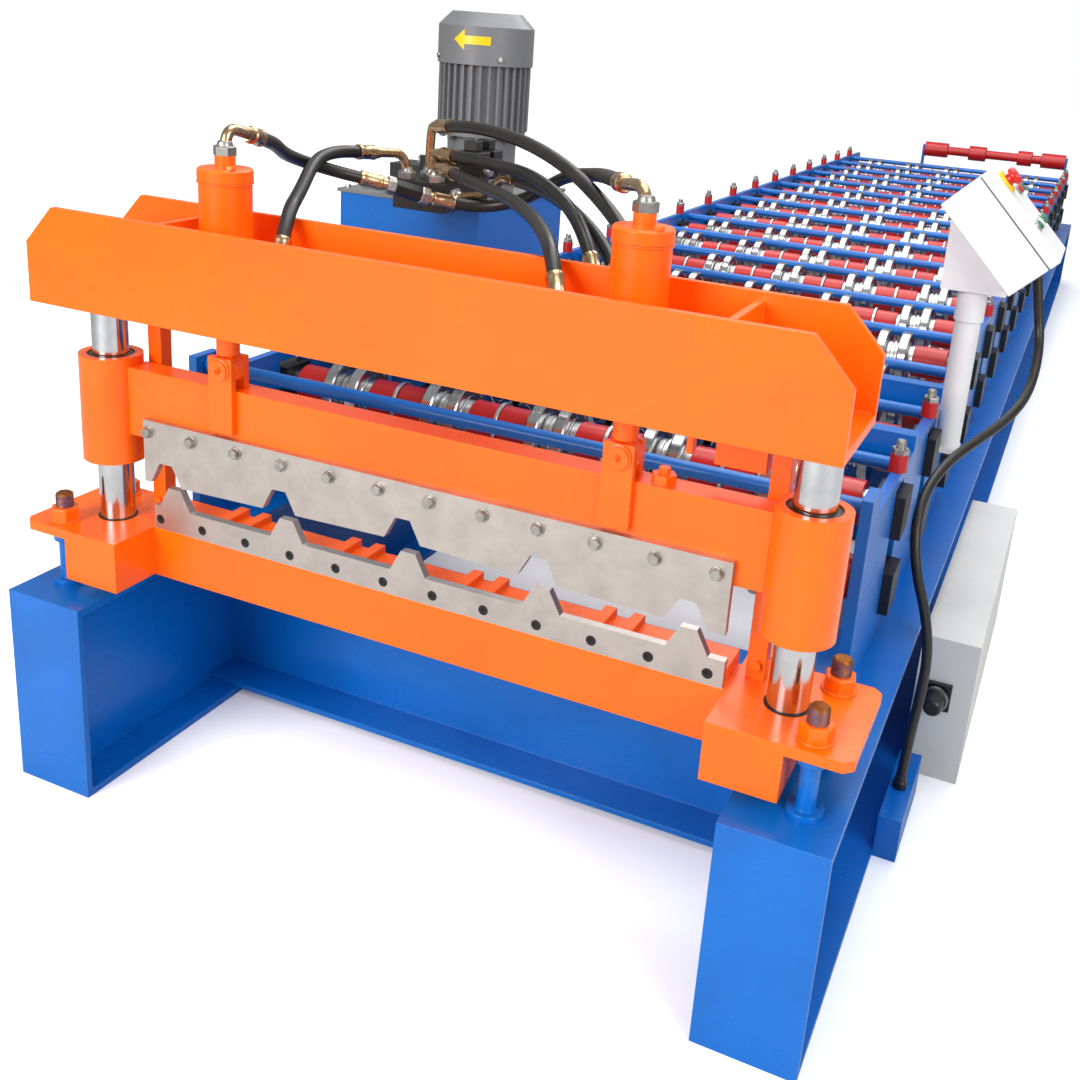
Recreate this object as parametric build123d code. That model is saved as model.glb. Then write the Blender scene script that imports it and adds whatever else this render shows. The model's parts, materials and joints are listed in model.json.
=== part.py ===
# Roll forming machine for trapezoid roof sheet, with its hydraulic cut-off shear.
# Millimetres. X runs across the machine, +Y runs from the shear (exit) to the entry, +Z is up.
# Sizes are worked out from the shear end, midway between the two beams, at floor level.
# The finished pieces are moved so that the origin lies on the floor in the middle of the footprint.

import os
from math import cos, radians, sin

from build123d import *

# General clearances
part_gap = 0.3
slide_fit = 0.05

# Frame beams
frame_width = 1554.0
frame_length = 7340.0
beam_height = 398.0
beam_width = 169.0
beam_flange = 14.0
beam_web = 10.0
beam_end_plate = 12.0
cross_channel_flange = 100.0
cross_channel_wall = 12.0
first_cross_y = 440.0
cross_count = 5

# Sheet profile
rib_pitch = 250.0
rib_count = 5
rib_height = 39.5
rib_top_width = 28.0
rib_foot_width = 70.0
rib_offset = -7.0
pass_height = 570.0

# Shear base
base_top = 523.0
base_block_height = 80.0
base_plate = 18.0
base_block_width = 120.0
base_inner = 561.0
base_front = 49.0
base_depth = 230.0
base_plate_outer = 780.0
base_corner_cut = 14.0
base_beam_front = 149.0
base_beam_depth = 90.0
stud_diameter = 30.0
stud_x = 716.0
stud_y = (88.0, 244.0)
stud_top = 578.0
stud_ring = 56.0
stud_ring_height = 10.0
nut_flat = 46.0
nut_height = 24.0
nut_washer = 56.0
nut_washer_height = 4.0

# Guide columns and sleeves
column_x = 656.0
column_y = 160.0
column_diameter = 65.0
sleeve_diameter = 114.0
sleeve_length = 202.0
sleeve_bottom = 643.0
seal_diameter = 84.0
seal_depth = 6.0

# Crosshead
crosshead_half = 708.0
crosshead_front = 32.0
crosshead_depth = 221.0
crosshead_plate = 12.0
crosshead_bottom = 956.0
crosshead_height = 169.0
crosshead_floor = 16.0
crosshead_cut_x = 60.0
crosshead_cut_z = 64.0
stiffener_x = (-486.0, 514.0)
stiffener_thickness = 12.0
stiffener_drop = 14.0

# Rear guide posts
post_x = 592.0
post_y = 203.0
post_width = 30.0
post_depth = 28.0
post_bolt = 18.0

# Moving beam, blades and their fixings
moving_half = 604.0
moving_front = 143.0
moving_depth = 50.0
moving_top = 829.0
moving_bottom = 701.0
blade_thickness = 15.0
blade_half = 556.0
upper_blade_top = 743.0
upper_blade_edge = 624.0
blade_rake_rise = 15.5
blade_bolt_count = 12
blade_bolt_pitch = 98.0
blade_bolt_z = 721.0
blade_bolt_hole = 13.0
lower_hole_z = 542.5
lower_hole_pitch = 97.5
lower_hole = 12.0
lower_hole_head = 18.0

# Cylinders, rods and clevises
cylinder_x = (-383.0, 361.0)
cylinder_y = 155.0
cylinder_diameter = 88.0
cylinder_bore = 63.0
cylinder_top = 1211.0
cylinder_cap = 22.0
neck_diameter = 34.0
neck_height = 20.0
gland_diameter = 60.0
gland_drop = 12.0
rod_diameter = 40.0
piston_length = 30.0
pin_z = 866.0
pin_diameter = 25.0
pin_head = 36.0
pin_head_length = 6.0
ear_width = 50.0
ear_thickness = 12.0
ear_top = 888.0
front_ear_bottom = 751.0
eye_diameter = 56.0
eye_thickness = 23.0
stroke_down = 75.0
stroke_up = 45.0

# Forming section
wall_inner = 682.0
wall_thickness = 20.0
wall_top = 723.0
end_plate_top = 772.0
end_plate_y = 418.0
end_plate_length = 72.0
station_count = 17
first_station = 740.0
station_pitch = 390.0
lower_shaft_z = 490.0
upper_shaft_z = 645.0
shaft_diameter = 60.0
journal_diameter = 45.0
roll_gap = 0.8
roll_width = 26.0
roll_half_gap = 30.0
spacer_diameter = 88.0
spacer_gap = 14.0
block_width = 90.0
block_height = 84.0
block_depth = 58.0
window_bottom = 440.0
window_top = 698.0
screw_diameter = 20.0
screw_top = 784.0
screw_collar = 34.0
screw_collar_height = 34.0
tie_bar_diameter = 28.0
tie_bar_offset = 100.0
tie_bar_z = 700.0
exit_bar_y = 452.0
exit_bar_z = 748.0

# Bridge rails and pump station
rail_y = (876.0, 1266.0)
rail_width = 40.0
rail_depth = 50.0
rail_wall = 6.0
tank_x = -469.0
tank_width = 362.0
tank_front = 880.0
tank_length = 436.0
tank_height = 318.0
tank_wall = 4.0
lid_thickness = 8.0
lid_overhang = 6.0
motor_x = -402.0
motor_y = 1090.0
motor_diameter = 186.0
motor_bottom = 1226.0
motor_fins_top = 1371.0
motor_top = 1484.0
motor_fin_count = 32
motor_fin_height = 12.0
motor_fin_thickness = 5.0
cover_diameter = 218.0
cover_chamfer = 30.0
bell_diameter = 160.0
flange_diameter = 200.0
valve_block_size = (120.0, 90.0, 70.0)
valve_block_at = (-470.0, 940.0)

# Entry table
entry_y = 7125.0
entry_roller_diameter = 60.0
entry_guide_height = 120.0

# Drive guard and foot
guard_side = 116.0
guard_front = 914.0
guard_length = 866.0
guard_height = 324.0
foot_front = 590.0
foot_length = 250.0
foot_height = 90.0
foot_width = 44.0

# Control post and desk
control_x = 731.0
control_y = 1222.0
control_post_diameter = 54.0
control_post_bottom = 640.0
control_collar_diameter = 62.0
control_collar_bottom = 925.0
control_collar_top = 992.0
desk_length = 233.0
desk_thickness = 120.0
desk_width = 210.0
desk_tilt = 46.0
desk_right = 895.0
desk_low_corner_z = 1174.0
button_diameter = 22.0
stop_diameter = 38.0

# Values worked out from those above
upper_roll_diameter = 2 * (upper_shaft_z - pass_height)
lower_roll_diameter = 2 * (pass_height - roll_gap - lower_shaft_z)
half_width = frame_width / 2
beam_centre = half_width - beam_width / 2
web_inner = beam_centre - beam_web / 2
base_bottom = base_top - base_plate - base_block_height
sleeve_top = sleeve_bottom + sleeve_length
crosshead_top = crosshead_bottom + crosshead_height
crosshead_back = crosshead_front + crosshead_depth - crosshead_plate
trough_front = crosshead_front + crosshead_plate
trough_floor = crosshead_bottom + crosshead_floor
lower_blade_front = base_beam_front
upper_blade_front = moving_front - blade_thickness
upper_blade_back = moving_front
blade_back = lower_blade_front + blade_thickness
station_ys = [first_station + station_pitch * k for k in range(station_count)]
rail_top = wall_top + 30.0
tank_bottom = rail_top
tank_top = tank_bottom + tank_height
lid_top = tank_top + lid_thickness
wall_outer = wall_inner + wall_thickness
wall_end = frame_length - 20.0
rib_centres = [rib_offset + rib_pitch * (k - (rib_count - 1) / 2) for k in range(rib_count)]
desk_across = desk_length * cos(radians(desk_tilt)) + desk_thickness * sin(radians(desk_tilt))
desk_low_corner = (desk_right - desk_across, desk_low_corner_z)
origin_x = (desk_right - base_plate_outer) / 2
origin_y = frame_length / 2
flag_bottom = moving_top + stroke_up + 6.0
front_ear_y = moving_front - ear_thickness
rear_ear_y = cylinder_y + eye_thickness / 2 + part_gap


def block(x0, x1, y0, y1, z0, z1):
    """A box between two opposite corners."""
    return Pos((x0 + x1) / 2, (y0 + y1) / 2, (z0 + z1) / 2) * Box(x1 - x0, y1 - y0, z1 - z0)


def round_x(y, z, x0, x1, diameter):
    """A round bar that lies along X."""
    return Pos((x0 + x1) / 2, y, z) * Rot(0, 90, 0) * Cylinder(diameter / 2, x1 - x0)


def round_y(x, z, y0, y1, diameter):
    """A round bar that lies along Y."""
    return Pos(x, (y0 + y1) / 2, z) * Rot(90, 0, 0) * Cylinder(diameter / 2, y1 - y0)


def round_z(x, y, z0, z1, diameter):
    """A round bar that stands along Z."""
    return Pos(x, y, (z0 + z1) / 2) * Cylinder(diameter / 2, z1 - z0)


def hexagon_z(x, y, z0, z1, flat):
    """A hexagon nut blank that stands along Z."""
    outline = RegularPolygon(flat / 2, 6, major_radius=False)
    return Pos(x, y, z0) * extrude(outline, z1 - z0)


def plate_xz(points, y0, y1):
    """A plate cut to an outline of (x, z) points, between two Y planes."""
    face = make_face(Polyline(*points, close=True))
    return Pos(0, y1, 0) * extrude(Plane.XZ * face, y1 - y0)


def plate_yz(points, x0, x1):
    """A plate cut to an outline of (y, z) points, between two X planes."""
    face = make_face(Polyline(*points, close=True))
    return Pos(x0, 0, 0) * extrude(Plane.YZ * face, x1 - x0)


def mirrored(shape):
    """The same piece on the other side of the machine."""
    return mirror(shape, about=Plane.YZ)


def group(shapes):
    """Separate solids that share one node."""
    return Compound([solid for shape in shapes for solid in shape.solids()])


# Frame


def frame_beam():
    """One long beam of the right side: an I section closed by a plate at each end."""
    x0 = half_width - beam_width
    x1 = half_width
    y0 = beam_end_plate
    y1 = frame_length - beam_end_plate
    bottom = block(x0, x1, y0, y1, 0, beam_flange)
    top = block(x0, x1, y0, y1, beam_height - beam_flange, beam_height)
    web_x = beam_centre
    web = block(web_x - beam_web / 2, web_x + beam_web / 2, y0, y1, beam_flange, beam_height - beam_flange)
    ends = block(x0, x1, 0, y0, 0, beam_height) + block(x0, x1, y1, frame_length, 0, beam_height)
    return bottom + top + web + ends


def cross_member(y):
    """A channel between the webs of the two beams, open towards the shear end."""
    reach = web_inner
    z1 = beam_height - beam_flange
    z0 = beam_flange
    back = block(-reach, reach, y + cross_channel_flange - cross_channel_wall, y + cross_channel_flange, z0, z1)
    low = block(-reach, reach, y, y + cross_channel_flange, z0, z0 + cross_channel_wall)
    high = block(-reach, reach, y, y + cross_channel_flange, z1 - cross_channel_wall, z1)
    return back + low + high


def cross_members():
    """The channels at even spacing along the frame."""
    last = frame_length - 200.0 - cross_channel_flange
    step = (last - first_cross_y) / (cross_count - 1)
    return group(cross_member(first_cross_y + step * k) for k in range(cross_count))


# Shear base


def base_block():
    """The right foot of the shear: a solid block under a wide plate with cut outer corners."""
    x0 = base_inner
    y0 = base_front
    y1 = base_front + base_depth
    z1 = base_top - base_plate
    foot = block(x0, x0 + base_block_width, y0, y1, base_bottom, z1)
    plate = block(x0, base_plate_outer, y0, y1, z1, base_top)
    corners = plate.edges().filter_by(Axis.Z).group_by(Axis.X)[-1]
    plate = chamfer(corners, base_corner_cut)
    body = foot + plate
    for y in stud_y:
        body -= round_z(stud_x, y, z1 - 1, base_top + 1, stud_diameter + 2)
    return body


def base_beam():
    """The box beam that joins the two feet and carries the lower blade."""
    y0 = base_beam_front
    y1 = base_beam_front + base_beam_depth
    outer = block(-base_inner, base_inner, y0, y1, base_bottom, base_top)
    wall = 8.0
    inner = block(-base_inner, base_inner, y0 + wall, y1 - wall, base_bottom + wall, base_top - 25)
    return outer - inner


def levelling_studs():
    """Four studs welded on the beams, each with its weld ring."""
    studs = []
    for side in (-1, 1):
        for y in stud_y:
            stud = round_z(side * stud_x, y, beam_height, stud_top, stud_diameter)
            stud += round_z(side * stud_x, y, beam_height, beam_height + stud_ring_height, stud_ring)
            support = base_top - base_plate
            stud += round_z(side * stud_x, y, support - 20, support, nut_flat)
            studs.append(chamfer(stud.edges().group_by(Axis.Z)[-1], 3))
    return group(studs)


def stud_nuts():
    """A washer and a hexagon nut on each stud."""
    nuts = []
    for side in (-1, 1):
        for y in stud_y:
            x = side * stud_x
            seat = base_top + nut_washer_height
            nut = hexagon_z(x, y, seat, seat + nut_height, nut_flat)
            nut += round_z(x, y, base_top, seat, nut_washer)
            nut -= round_z(x, y, base_top - 1, seat + nut_height + 1, stud_diameter + 2 * slide_fit)
            nuts.append(nut)
    return group(nuts)


def guide_column():
    """The right chrome column, shouldered between base plate and crosshead."""
    return round_z(column_x, column_y, base_top, crosshead_bottom, column_diameter)


# Crosshead


def crosshead_side(y0):
    """A side plate with both upper corners cut off."""
    h = crosshead_half
    z0 = crosshead_bottom
    z1 = crosshead_top
    outline = [
        (-h, z0),
        (h, z0),
        (h, z1 - crosshead_cut_z),
        (h - crosshead_cut_x, z1),
        (-h + crosshead_cut_x, z1),
        (-h, z1 - crosshead_cut_z),
    ]
    return plate_xz(outline, y0, y0 + crosshead_plate)


def crosshead_floor_plate():
    """The floor between the side plates, with a hole for each rod gland."""
    y0 = trough_front
    y1 = crosshead_back
    floor = block(-crosshead_half, crosshead_half, y0, y1, crosshead_bottom, trough_floor)
    for x in cylinder_x:
        floor -= round_z(x, cylinder_y, crosshead_bottom - 1, trough_floor + 1, gland_diameter + 0.6)
    return floor


def crosshead_ribs():
    """The two upright plates across the trough."""
    z1 = crosshead_top - stiffener_drop
    y0 = trough_front
    y1 = crosshead_back
    return group(block(x, x + stiffener_thickness, y0, y1, trough_floor, z1) for x in stiffener_x)


def rear_posts():
    """Square bars behind the moving beam, bolted to the base and welded to the crosshead."""
    posts = []
    for side in (-1, 1):
        x0 = side * post_x - post_width / 2
        y1 = post_y + post_depth
        post = block(x0, x0 + post_width, post_y, y1, base_top, crosshead_bottom)
        head = round_y(side * post_x, base_top + 26, post_y - 7, post_y, post_bolt)
        posts.append(post + head)
    return group(posts)


def limit_bracket():
    """The plate that hangs from the crosshead and holds the stroke switch, and its flag."""
    x0 = 490.0
    x1 = 570.0
    y0 = 200.0
    plate = block(x0, x1, y0, y0 + 8, 862, crosshead_bottom)
    plate += block(x1 - 8, x1, y0, y0 + 34, 862, crosshead_bottom)
    flag = block(452, 462, 172, 190, flag_bottom, crosshead_bottom)
    return group([plate, flag])


# Blades


def rib_outline(z, lean=0.0):
    """The points of the ribs from left to right along a blade edge at height z."""
    points = []
    for x in rib_centres:
        for offset, rise in ((-rib_foot_width / 2, 0), (-rib_top_width / 2, rib_height),
                             (rib_top_width / 2, rib_height), (rib_foot_width / 2, 0)):
            here = x + offset
            points.append((here, z + rise + lean * (1 - abs(here) / blade_half)))
    return points


def bolt_xs(pitch, count, centre=-6.0):
    """Even places across the blade."""
    return [centre + pitch * (k - (count - 1) / 2) for k in range(count)]


def upper_blade():
    """The moving blade: it carries the sheet's profile and its edge rises to the middle."""
    z0 = upper_blade_edge
    outline = [(-blade_half, upper_blade_top), (-blade_half, z0)]
    outline += rib_outline(z0, blade_rake_rise)
    outline += [(blade_half, z0), (blade_half, upper_blade_top)]
    blade = plate_xz(outline, upper_blade_front, upper_blade_back)
    for x in bolt_xs(blade_bolt_pitch, blade_bolt_count):
        blade -= round_y(x, blade_bolt_z, upper_blade_front - 1, upper_blade_back + 1, blade_bolt_hole)
    return blade


def lower_blade():
    """The fixed blade: its top edge carries the sheet, with countersunk holes below."""
    y0 = lower_blade_front
    y1 = blade_back
    outline = [(-blade_half, base_top), (-blade_half, pass_height)]
    outline += rib_outline(pass_height)
    outline += [(blade_half, pass_height), (blade_half, base_top)]
    blade = plate_xz(outline, y0, y1)
    for x in bolt_xs(lower_hole_pitch, blade_bolt_count):
        blade -= round_y(x, lower_hole_z, y0 - 1, y1 + 1, lower_hole)
        blade -= round_y(x, lower_hole_z, y0 - 1, y0 + 4, lower_hole_head)
    return blade


def sheet_fingers():
    """The bar behind the lower blade with rounded fingers that lead the sheet in."""
    y0 = blade_back
    y1 = base_beam_front + base_beam_depth
    bar = block(-blade_half, blade_half, y0, y1, base_top, base_top + 26)
    for x in rib_centres[:-1]:
        for shift in (90.0, 140.0):
            finger = block(x + shift - 10, x + shift + 10, y1 - 60, y1, base_top + 26, base_top + 40)
            finger += round_z(x + shift, y1 - 60, base_top + 26, base_top + 40, 20)
            bar += finger
    return bar


def moving_beam():
    """The heavy bar between the two sleeves, with the stop screw on top."""
    y0 = moving_front
    y1 = moving_front + moving_depth
    bar = block(-moving_half, moving_half, y0, y1, moving_bottom, moving_top)
    for side in (-1, 1):
        x = side * column_x
        bar -= round_z(x, column_y, moving_bottom - 1, moving_top + 1, sleeve_diameter)
    for x in bolt_xs(blade_bolt_pitch, blade_bolt_count):
        bar -= round_y(x, blade_bolt_z, y0 - 1, y0 + 28, blade_bolt_hole)
    stop = hexagon_z(424, y0 + 25, moving_top, moving_top + 14, 34)
    stop += round_z(424, y0 + 25, moving_top + 14, moving_top + 24, 18)
    return bar + stop


def guide_sleeve():
    """The right sleeve that slides on its column, with a seal recess at each end."""
    sleeve = round_z(column_x, column_y, sleeve_bottom, sleeve_top, sleeve_diameter)
    sleeve -= round_z(column_x, column_y, sleeve_bottom - 1, sleeve_top + 1, column_diameter + 2 * slide_fit)
    for z0 in (sleeve_bottom - 1, sleeve_top - seal_depth):
        sleeve -= round_z(column_x, column_y, z0, z0 + seal_depth + 1, seal_diameter)
    return sleeve


def clevis(x):
    """Two ears that hold a rod eye: one on the face of the beam, one on its top."""
    w = ear_width / 2
    front = block(x - w, x + w, front_ear_y, moving_front, front_ear_bottom, ear_top)
    rear = block(x - w, x + w, rear_ear_y, rear_ear_y + ear_thickness, moving_top, ear_top)
    hole = round_y(x, pin_z, front_ear_y - 1, rear_ear_y + ear_thickness + 1, pin_diameter + 2 * slide_fit)
    return [front - hole, rear - hole]


def clevis_pin(x):
    """The pin through both ears and the rod eye, with a low round head."""
    y0 = front_ear_y
    y1 = rear_ear_y + ear_thickness
    pin = round_y(x, pin_z, y0, y1 + 4, pin_diameter)
    return pin + round_y(x, pin_z, y0 - pin_head_length, y0, pin_head)


def piston_rod(x):
    """A rod with its piston above and its flat eye below."""
    eye = round_y(x, pin_z, cylinder_y - eye_thickness / 2, cylinder_y + eye_thickness / 2, eye_diameter)
    rod_top = crosshead_bottom + 130
    rod = round_z(x, cylinder_y, pin_z + eye_diameter / 2 - 4, rod_top, rod_diameter)
    neck = round_z(x, cylinder_y, pin_z, pin_z + eye_diameter / 2, eye_thickness)
    piston = round_z(x, cylinder_y, rod_top, rod_top + piston_length, cylinder_bore - 2 * slide_fit)
    rod = eye + neck + rod + piston
    return rod - round_y(x, pin_z, cylinder_y - 50, cylinder_y + 50, pin_diameter + 2 * slide_fit)


def cylinder(x):
    """A hydraulic cylinder that stands in the trough: tube, cap, neck and gland."""
    y = cylinder_y
    shell = round_z(x, y, trough_floor, cylinder_top - cylinder_cap, cylinder_diameter)
    cap = round_z(x, y, cylinder_top - cylinder_cap, cylinder_top, cylinder_diameter + 4)
    cap = chamfer(cap.edges().group_by(Axis.Z)[-1], 3)
    shell += cap
    shell += round_z(x, y, cylinder_top, cylinder_top + neck_height, neck_diameter)
    shell += round_z(x, y, crosshead_bottom - gland_drop, trough_floor, gland_diameter)
    shell -= round_z(x, y, trough_floor + 12, cylinder_top - cylinder_cap, cylinder_bore)
    shell -= round_z(x, y, crosshead_bottom - gland_drop - 1, trough_floor + 13, rod_diameter + 2 * slide_fit)
    return shell


# Forming section


def side_wall():
    """The right wall: one plate with a window for each pair of bearing blocks."""
    x0 = wall_inner
    x1 = wall_outer
    wall = block(x0, x1, end_plate_y + end_plate_length, wall_end, beam_height, wall_top)
    wall += block(x0, x1, end_plate_y, end_plate_y + end_plate_length, beam_height, end_plate_top)
    for y in station_ys:
        window = block(x0 - 1, x1 + 1, y - block_width / 2, y + block_width / 2, window_bottom, window_top)
        wall -= window
    return wall


def bearing_blocks(side):
    """The blocks of one side: a lower and an upper one in each window."""
    x0 = wall_inner - (block_depth - wall_thickness) / 2
    x1 = x0 + block_depth
    blocks = []
    for y in station_ys:
        for z in (lower_shaft_z, upper_shaft_z):
            y0 = y - block_width / 2 + part_gap
            y1 = y + block_width / 2 - part_gap
            piece = block(x0, x1, y0, y1, z - block_height / 2, z + block_height / 2)
            if side < 0:
                piece = mirrored(piece)
            blocks.append(piece)
    return blocks


def adjusting_screws():
    """A screw through the wall's top edge above each upper block, with a lock nut."""
    screws = []
    x = (wall_inner + wall_outer) / 2
    for side in (-1, 1):
        for y in station_ys:
            screws.append(round_z(side * x, y, wall_top, screw_top, screw_diameter))
    return group(screws)


def screw_collars():
    """The painted collars at the foot of the screws."""
    collars = []
    x = (wall_inner + wall_outer) / 2
    for side in (-1, 1):
        for y in station_ys:
            collar = round_z(side * x, y, wall_top, wall_top + screw_collar_height, screw_collar)
            collars.append(collar - round_z(side * x, y, wall_top - 1, screw_top, screw_diameter))
    return group(collars)


def tie_bars():
    """Round bars between the walls: one at each station and one at the exit."""
    bars = [round_x(exit_bar_y, exit_bar_z, -wall_inner, wall_inner, tie_bar_diameter)]
    for y in station_ys:
        bars.append(round_x(y + tie_bar_offset, tie_bar_z, -wall_inner, wall_inner, tie_bar_diameter))
    return group(bars)


def roll_shaft(y, z, roll_diameter):
    """A shaft with a pair of rolls at each rib of the sheet."""
    reach = wall_inner - (block_depth - wall_thickness) / 2
    shaft = round_x(y, z, -reach, reach, shaft_diameter)
    for x in rib_centres:
        for side in (-1, 1):
            centre = x + side * roll_half_gap
            shaft += round_x(y, z, centre - roll_width / 2, centre + roll_width / 2, roll_diameter)
    return shaft


def spacer_tubes(z):
    """The tubes on a row of shafts, between one pair of rolls and the next."""
    tubes = []
    for y in station_ys:
        for k in range(rib_count - 1):
            x0 = rib_centres[k] + roll_half_gap + roll_width / 2 + spacer_gap
            x1 = rib_centres[k + 1] - roll_half_gap - roll_width / 2 - spacer_gap
            tube = round_x(y, z, x0, x1, spacer_diameter)
            tubes.append(tube - round_x(y, z, x0 - 1, x1 + 1, shaft_diameter))
    return tubes


def exit_rails():
    """Two rails across the walls that carry the pump station."""
    rails = []
    for y in rail_y:
        x1 = wall_outer
        rail = block(-x1, x1, y, y + rail_width, wall_top, rail_top)
        rail += block(-wall_inner, wall_inner, y, y + rail_width, rail_top - rail_depth, wall_top)
        rails.append(rail)
    return group(rails)


def entry_table():
    """The flat table and side guides where the strip enters."""
    y0 = entry_y
    y1 = wall_end
    table = block(-wall_inner, wall_inner, y0 + 60, y1, pass_height - 30, pass_height - 10)
    table += block(-wall_inner, -wall_inner + 40, y0 + 60, y1, pass_height - 10, pass_height + 60)
    table += block(wall_inner - 40, wall_inner, y0 + 60, y1, pass_height - 10, pass_height + 60)
    return table


def entry_rollers():
    """Two plain rollers that lead the strip on to the table."""
    rollers = []
    for z in (pass_height - 40, pass_height + 40):
        rollers.append(round_x(entry_y + 10, z, -wall_inner, wall_inner, entry_roller_diameter))
    return group(rollers)


# Drive


def drive_guard():
    """The folded sheet cover beside the right beam."""
    x0 = half_width
    x1 = half_width + guard_side
    y1 = guard_front + guard_length
    cover = block(x0, x1, guard_front, y1, 0, guard_height)
    return fillet(cover.edges().filter_by(Axis.Y).group_by(Axis.X)[-1].group_by(Axis.Z)[-1], 4)


def drive_foot():
    """The foot of the drive, against the outer side of the beam."""
    y1 = foot_front + foot_length
    return block(half_width, half_width + foot_width, foot_front, y1, 0, foot_height)


# Control post and desk


def control_post():
    """The pipe post with its collar and the foot that bolts it to the wall."""
    x = control_x
    y = control_y
    post = round_z(x, y, control_post_bottom, control_collar_top, control_post_diameter)
    post += round_z(x, y, control_collar_bottom, control_collar_top, control_collar_diameter)
    foot = block(wall_outer, x, y - 30, y + 30, control_post_bottom - 12, control_post_bottom)
    foot += block(x, x + 27, y - 30, y + 30, control_post_bottom - 12, control_post_bottom)
    foot += block(wall_outer, wall_outer + 10, y - 40, y + 40, control_post_bottom - 60, control_post_bottom)
    return post + foot


def desk_frame(u, v):
    """A point of the desk's side view: u down the slope, v up from the low side."""
    a = radians(desk_tilt)
    x = desk_low_corner[0] + u * cos(a) + v * sin(a)
    z = desk_low_corner[1] - u * sin(a) + v * cos(a)
    return (x, z)


def desk_box():
    """The sheet box of the desk, tilted towards whoever stands beside the machine."""
    y0 = control_y - desk_width / 2
    y1 = control_y + desk_width / 2
    corners = [desk_frame(0, 0), desk_frame(desk_length, 0),
               desk_frame(desk_length, desk_thickness), desk_frame(0, desk_thickness)]
    return plate_xz(corners, y0, y1)


def desk_bracket():
    """The wedge plates between the collar and the sloping bottom of the box."""
    z0 = control_collar_top
    high = desk_frame(28, 0)
    low = desk_frame(desk_length - 12, 0)
    return plate_xz([high, (high[0], z0), (low[0], z0), low], control_y - 40, control_y + 40)


def desk_buttons():
    """The round buttons on the control face."""
    spots = [(150, -60), (150, -20), (150, 20), (150, 60), (70, 30), (70, 70)]
    pieces = []
    for u, shift in spots:
        x, z = desk_frame(u, desk_thickness)
        plane = Pos(x, control_y + shift, z) * Rot(0, desk_tilt, 0)
        pieces.append(plane * Pos(0, 0, 5) * Cylinder(button_diameter / 2, 10))
    return group(pieces)


def stop_button():
    """The red mushroom button."""
    x, z = desk_frame(40, desk_thickness)
    plane = Pos(x, control_y - 50, z) * Rot(0, desk_tilt, 0)
    stem = plane * Pos(0, 0, 8) * Cylinder(12, 16)
    head = plane * Pos(0, 0, 22) * Cylinder(stop_diameter / 2, 14)
    return stem + head


# Pump station


def pump_tank():
    """The oil tank: an open box of sheet under its lid."""
    x0 = tank_x - tank_width / 2
    x1 = tank_x + tank_width / 2
    y1 = tank_front + tank_length
    shell = block(x0, x1, tank_front, y1, tank_bottom, tank_top)
    t = tank_wall
    return shell - block(x0 + t, x1 - t, tank_front + t, y1 - t, tank_bottom + t, tank_top + 1)


def tank_lid():
    """The lid plate with a bell housing that carries the motor."""
    x0 = tank_x - tank_width / 2 - lid_overhang
    x1 = tank_x + tank_width / 2 + lid_overhang
    y0 = tank_front - lid_overhang
    y1 = tank_front + tank_length + lid_overhang
    return block(x0, x1, y0, y1, tank_top, lid_top)


def motor_bell():
    """The bell housing between the lid and the motor."""
    bell = round_z(motor_x, motor_y, lid_top, motor_bottom - 14, bell_diameter)
    return bell + round_z(motor_x, motor_y, motor_bottom - 14, motor_bottom, flange_diameter)


def pump_motor():
    """The motor body with cooling fins all round."""
    body = round_z(motor_x, motor_y, motor_bottom, motor_fins_top, motor_diameter)
    fins = []
    for k in range(motor_fin_count):
        fin = Box(motor_fin_height * 2, motor_fin_thickness, motor_fins_top - motor_bottom)
        spin = Rot(0, 0, 360 * k / motor_fin_count)
        middle = (motor_bottom + motor_fins_top) / 2
        fins.append(Pos(motor_x, motor_y, middle) * spin * Pos(motor_diameter / 2, 0, 0) * fin)
    return body + fins


def fan_cover():
    """The sheet cover over the fan, with its bevelled edge."""
    cover = round_z(motor_x, motor_y, motor_fins_top, motor_top, cover_diameter)
    return chamfer(cover.edges().group_by(Axis.Z)[-1], cover_chamfer)


def valve_block():
    """The valve block on the lid, with its solenoid valves."""
    w, d, h = valve_block_size
    x, y = valve_block_at
    body = block(x - w / 2, x + w / 2, y - d / 2, y + d / 2, lid_top, lid_top + h)
    return body


right_beam = frame_beam()
right_foot = base_block()
right_column = guide_column()
right_sleeve = guide_sleeve()
right_wall = side_wall()

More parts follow.
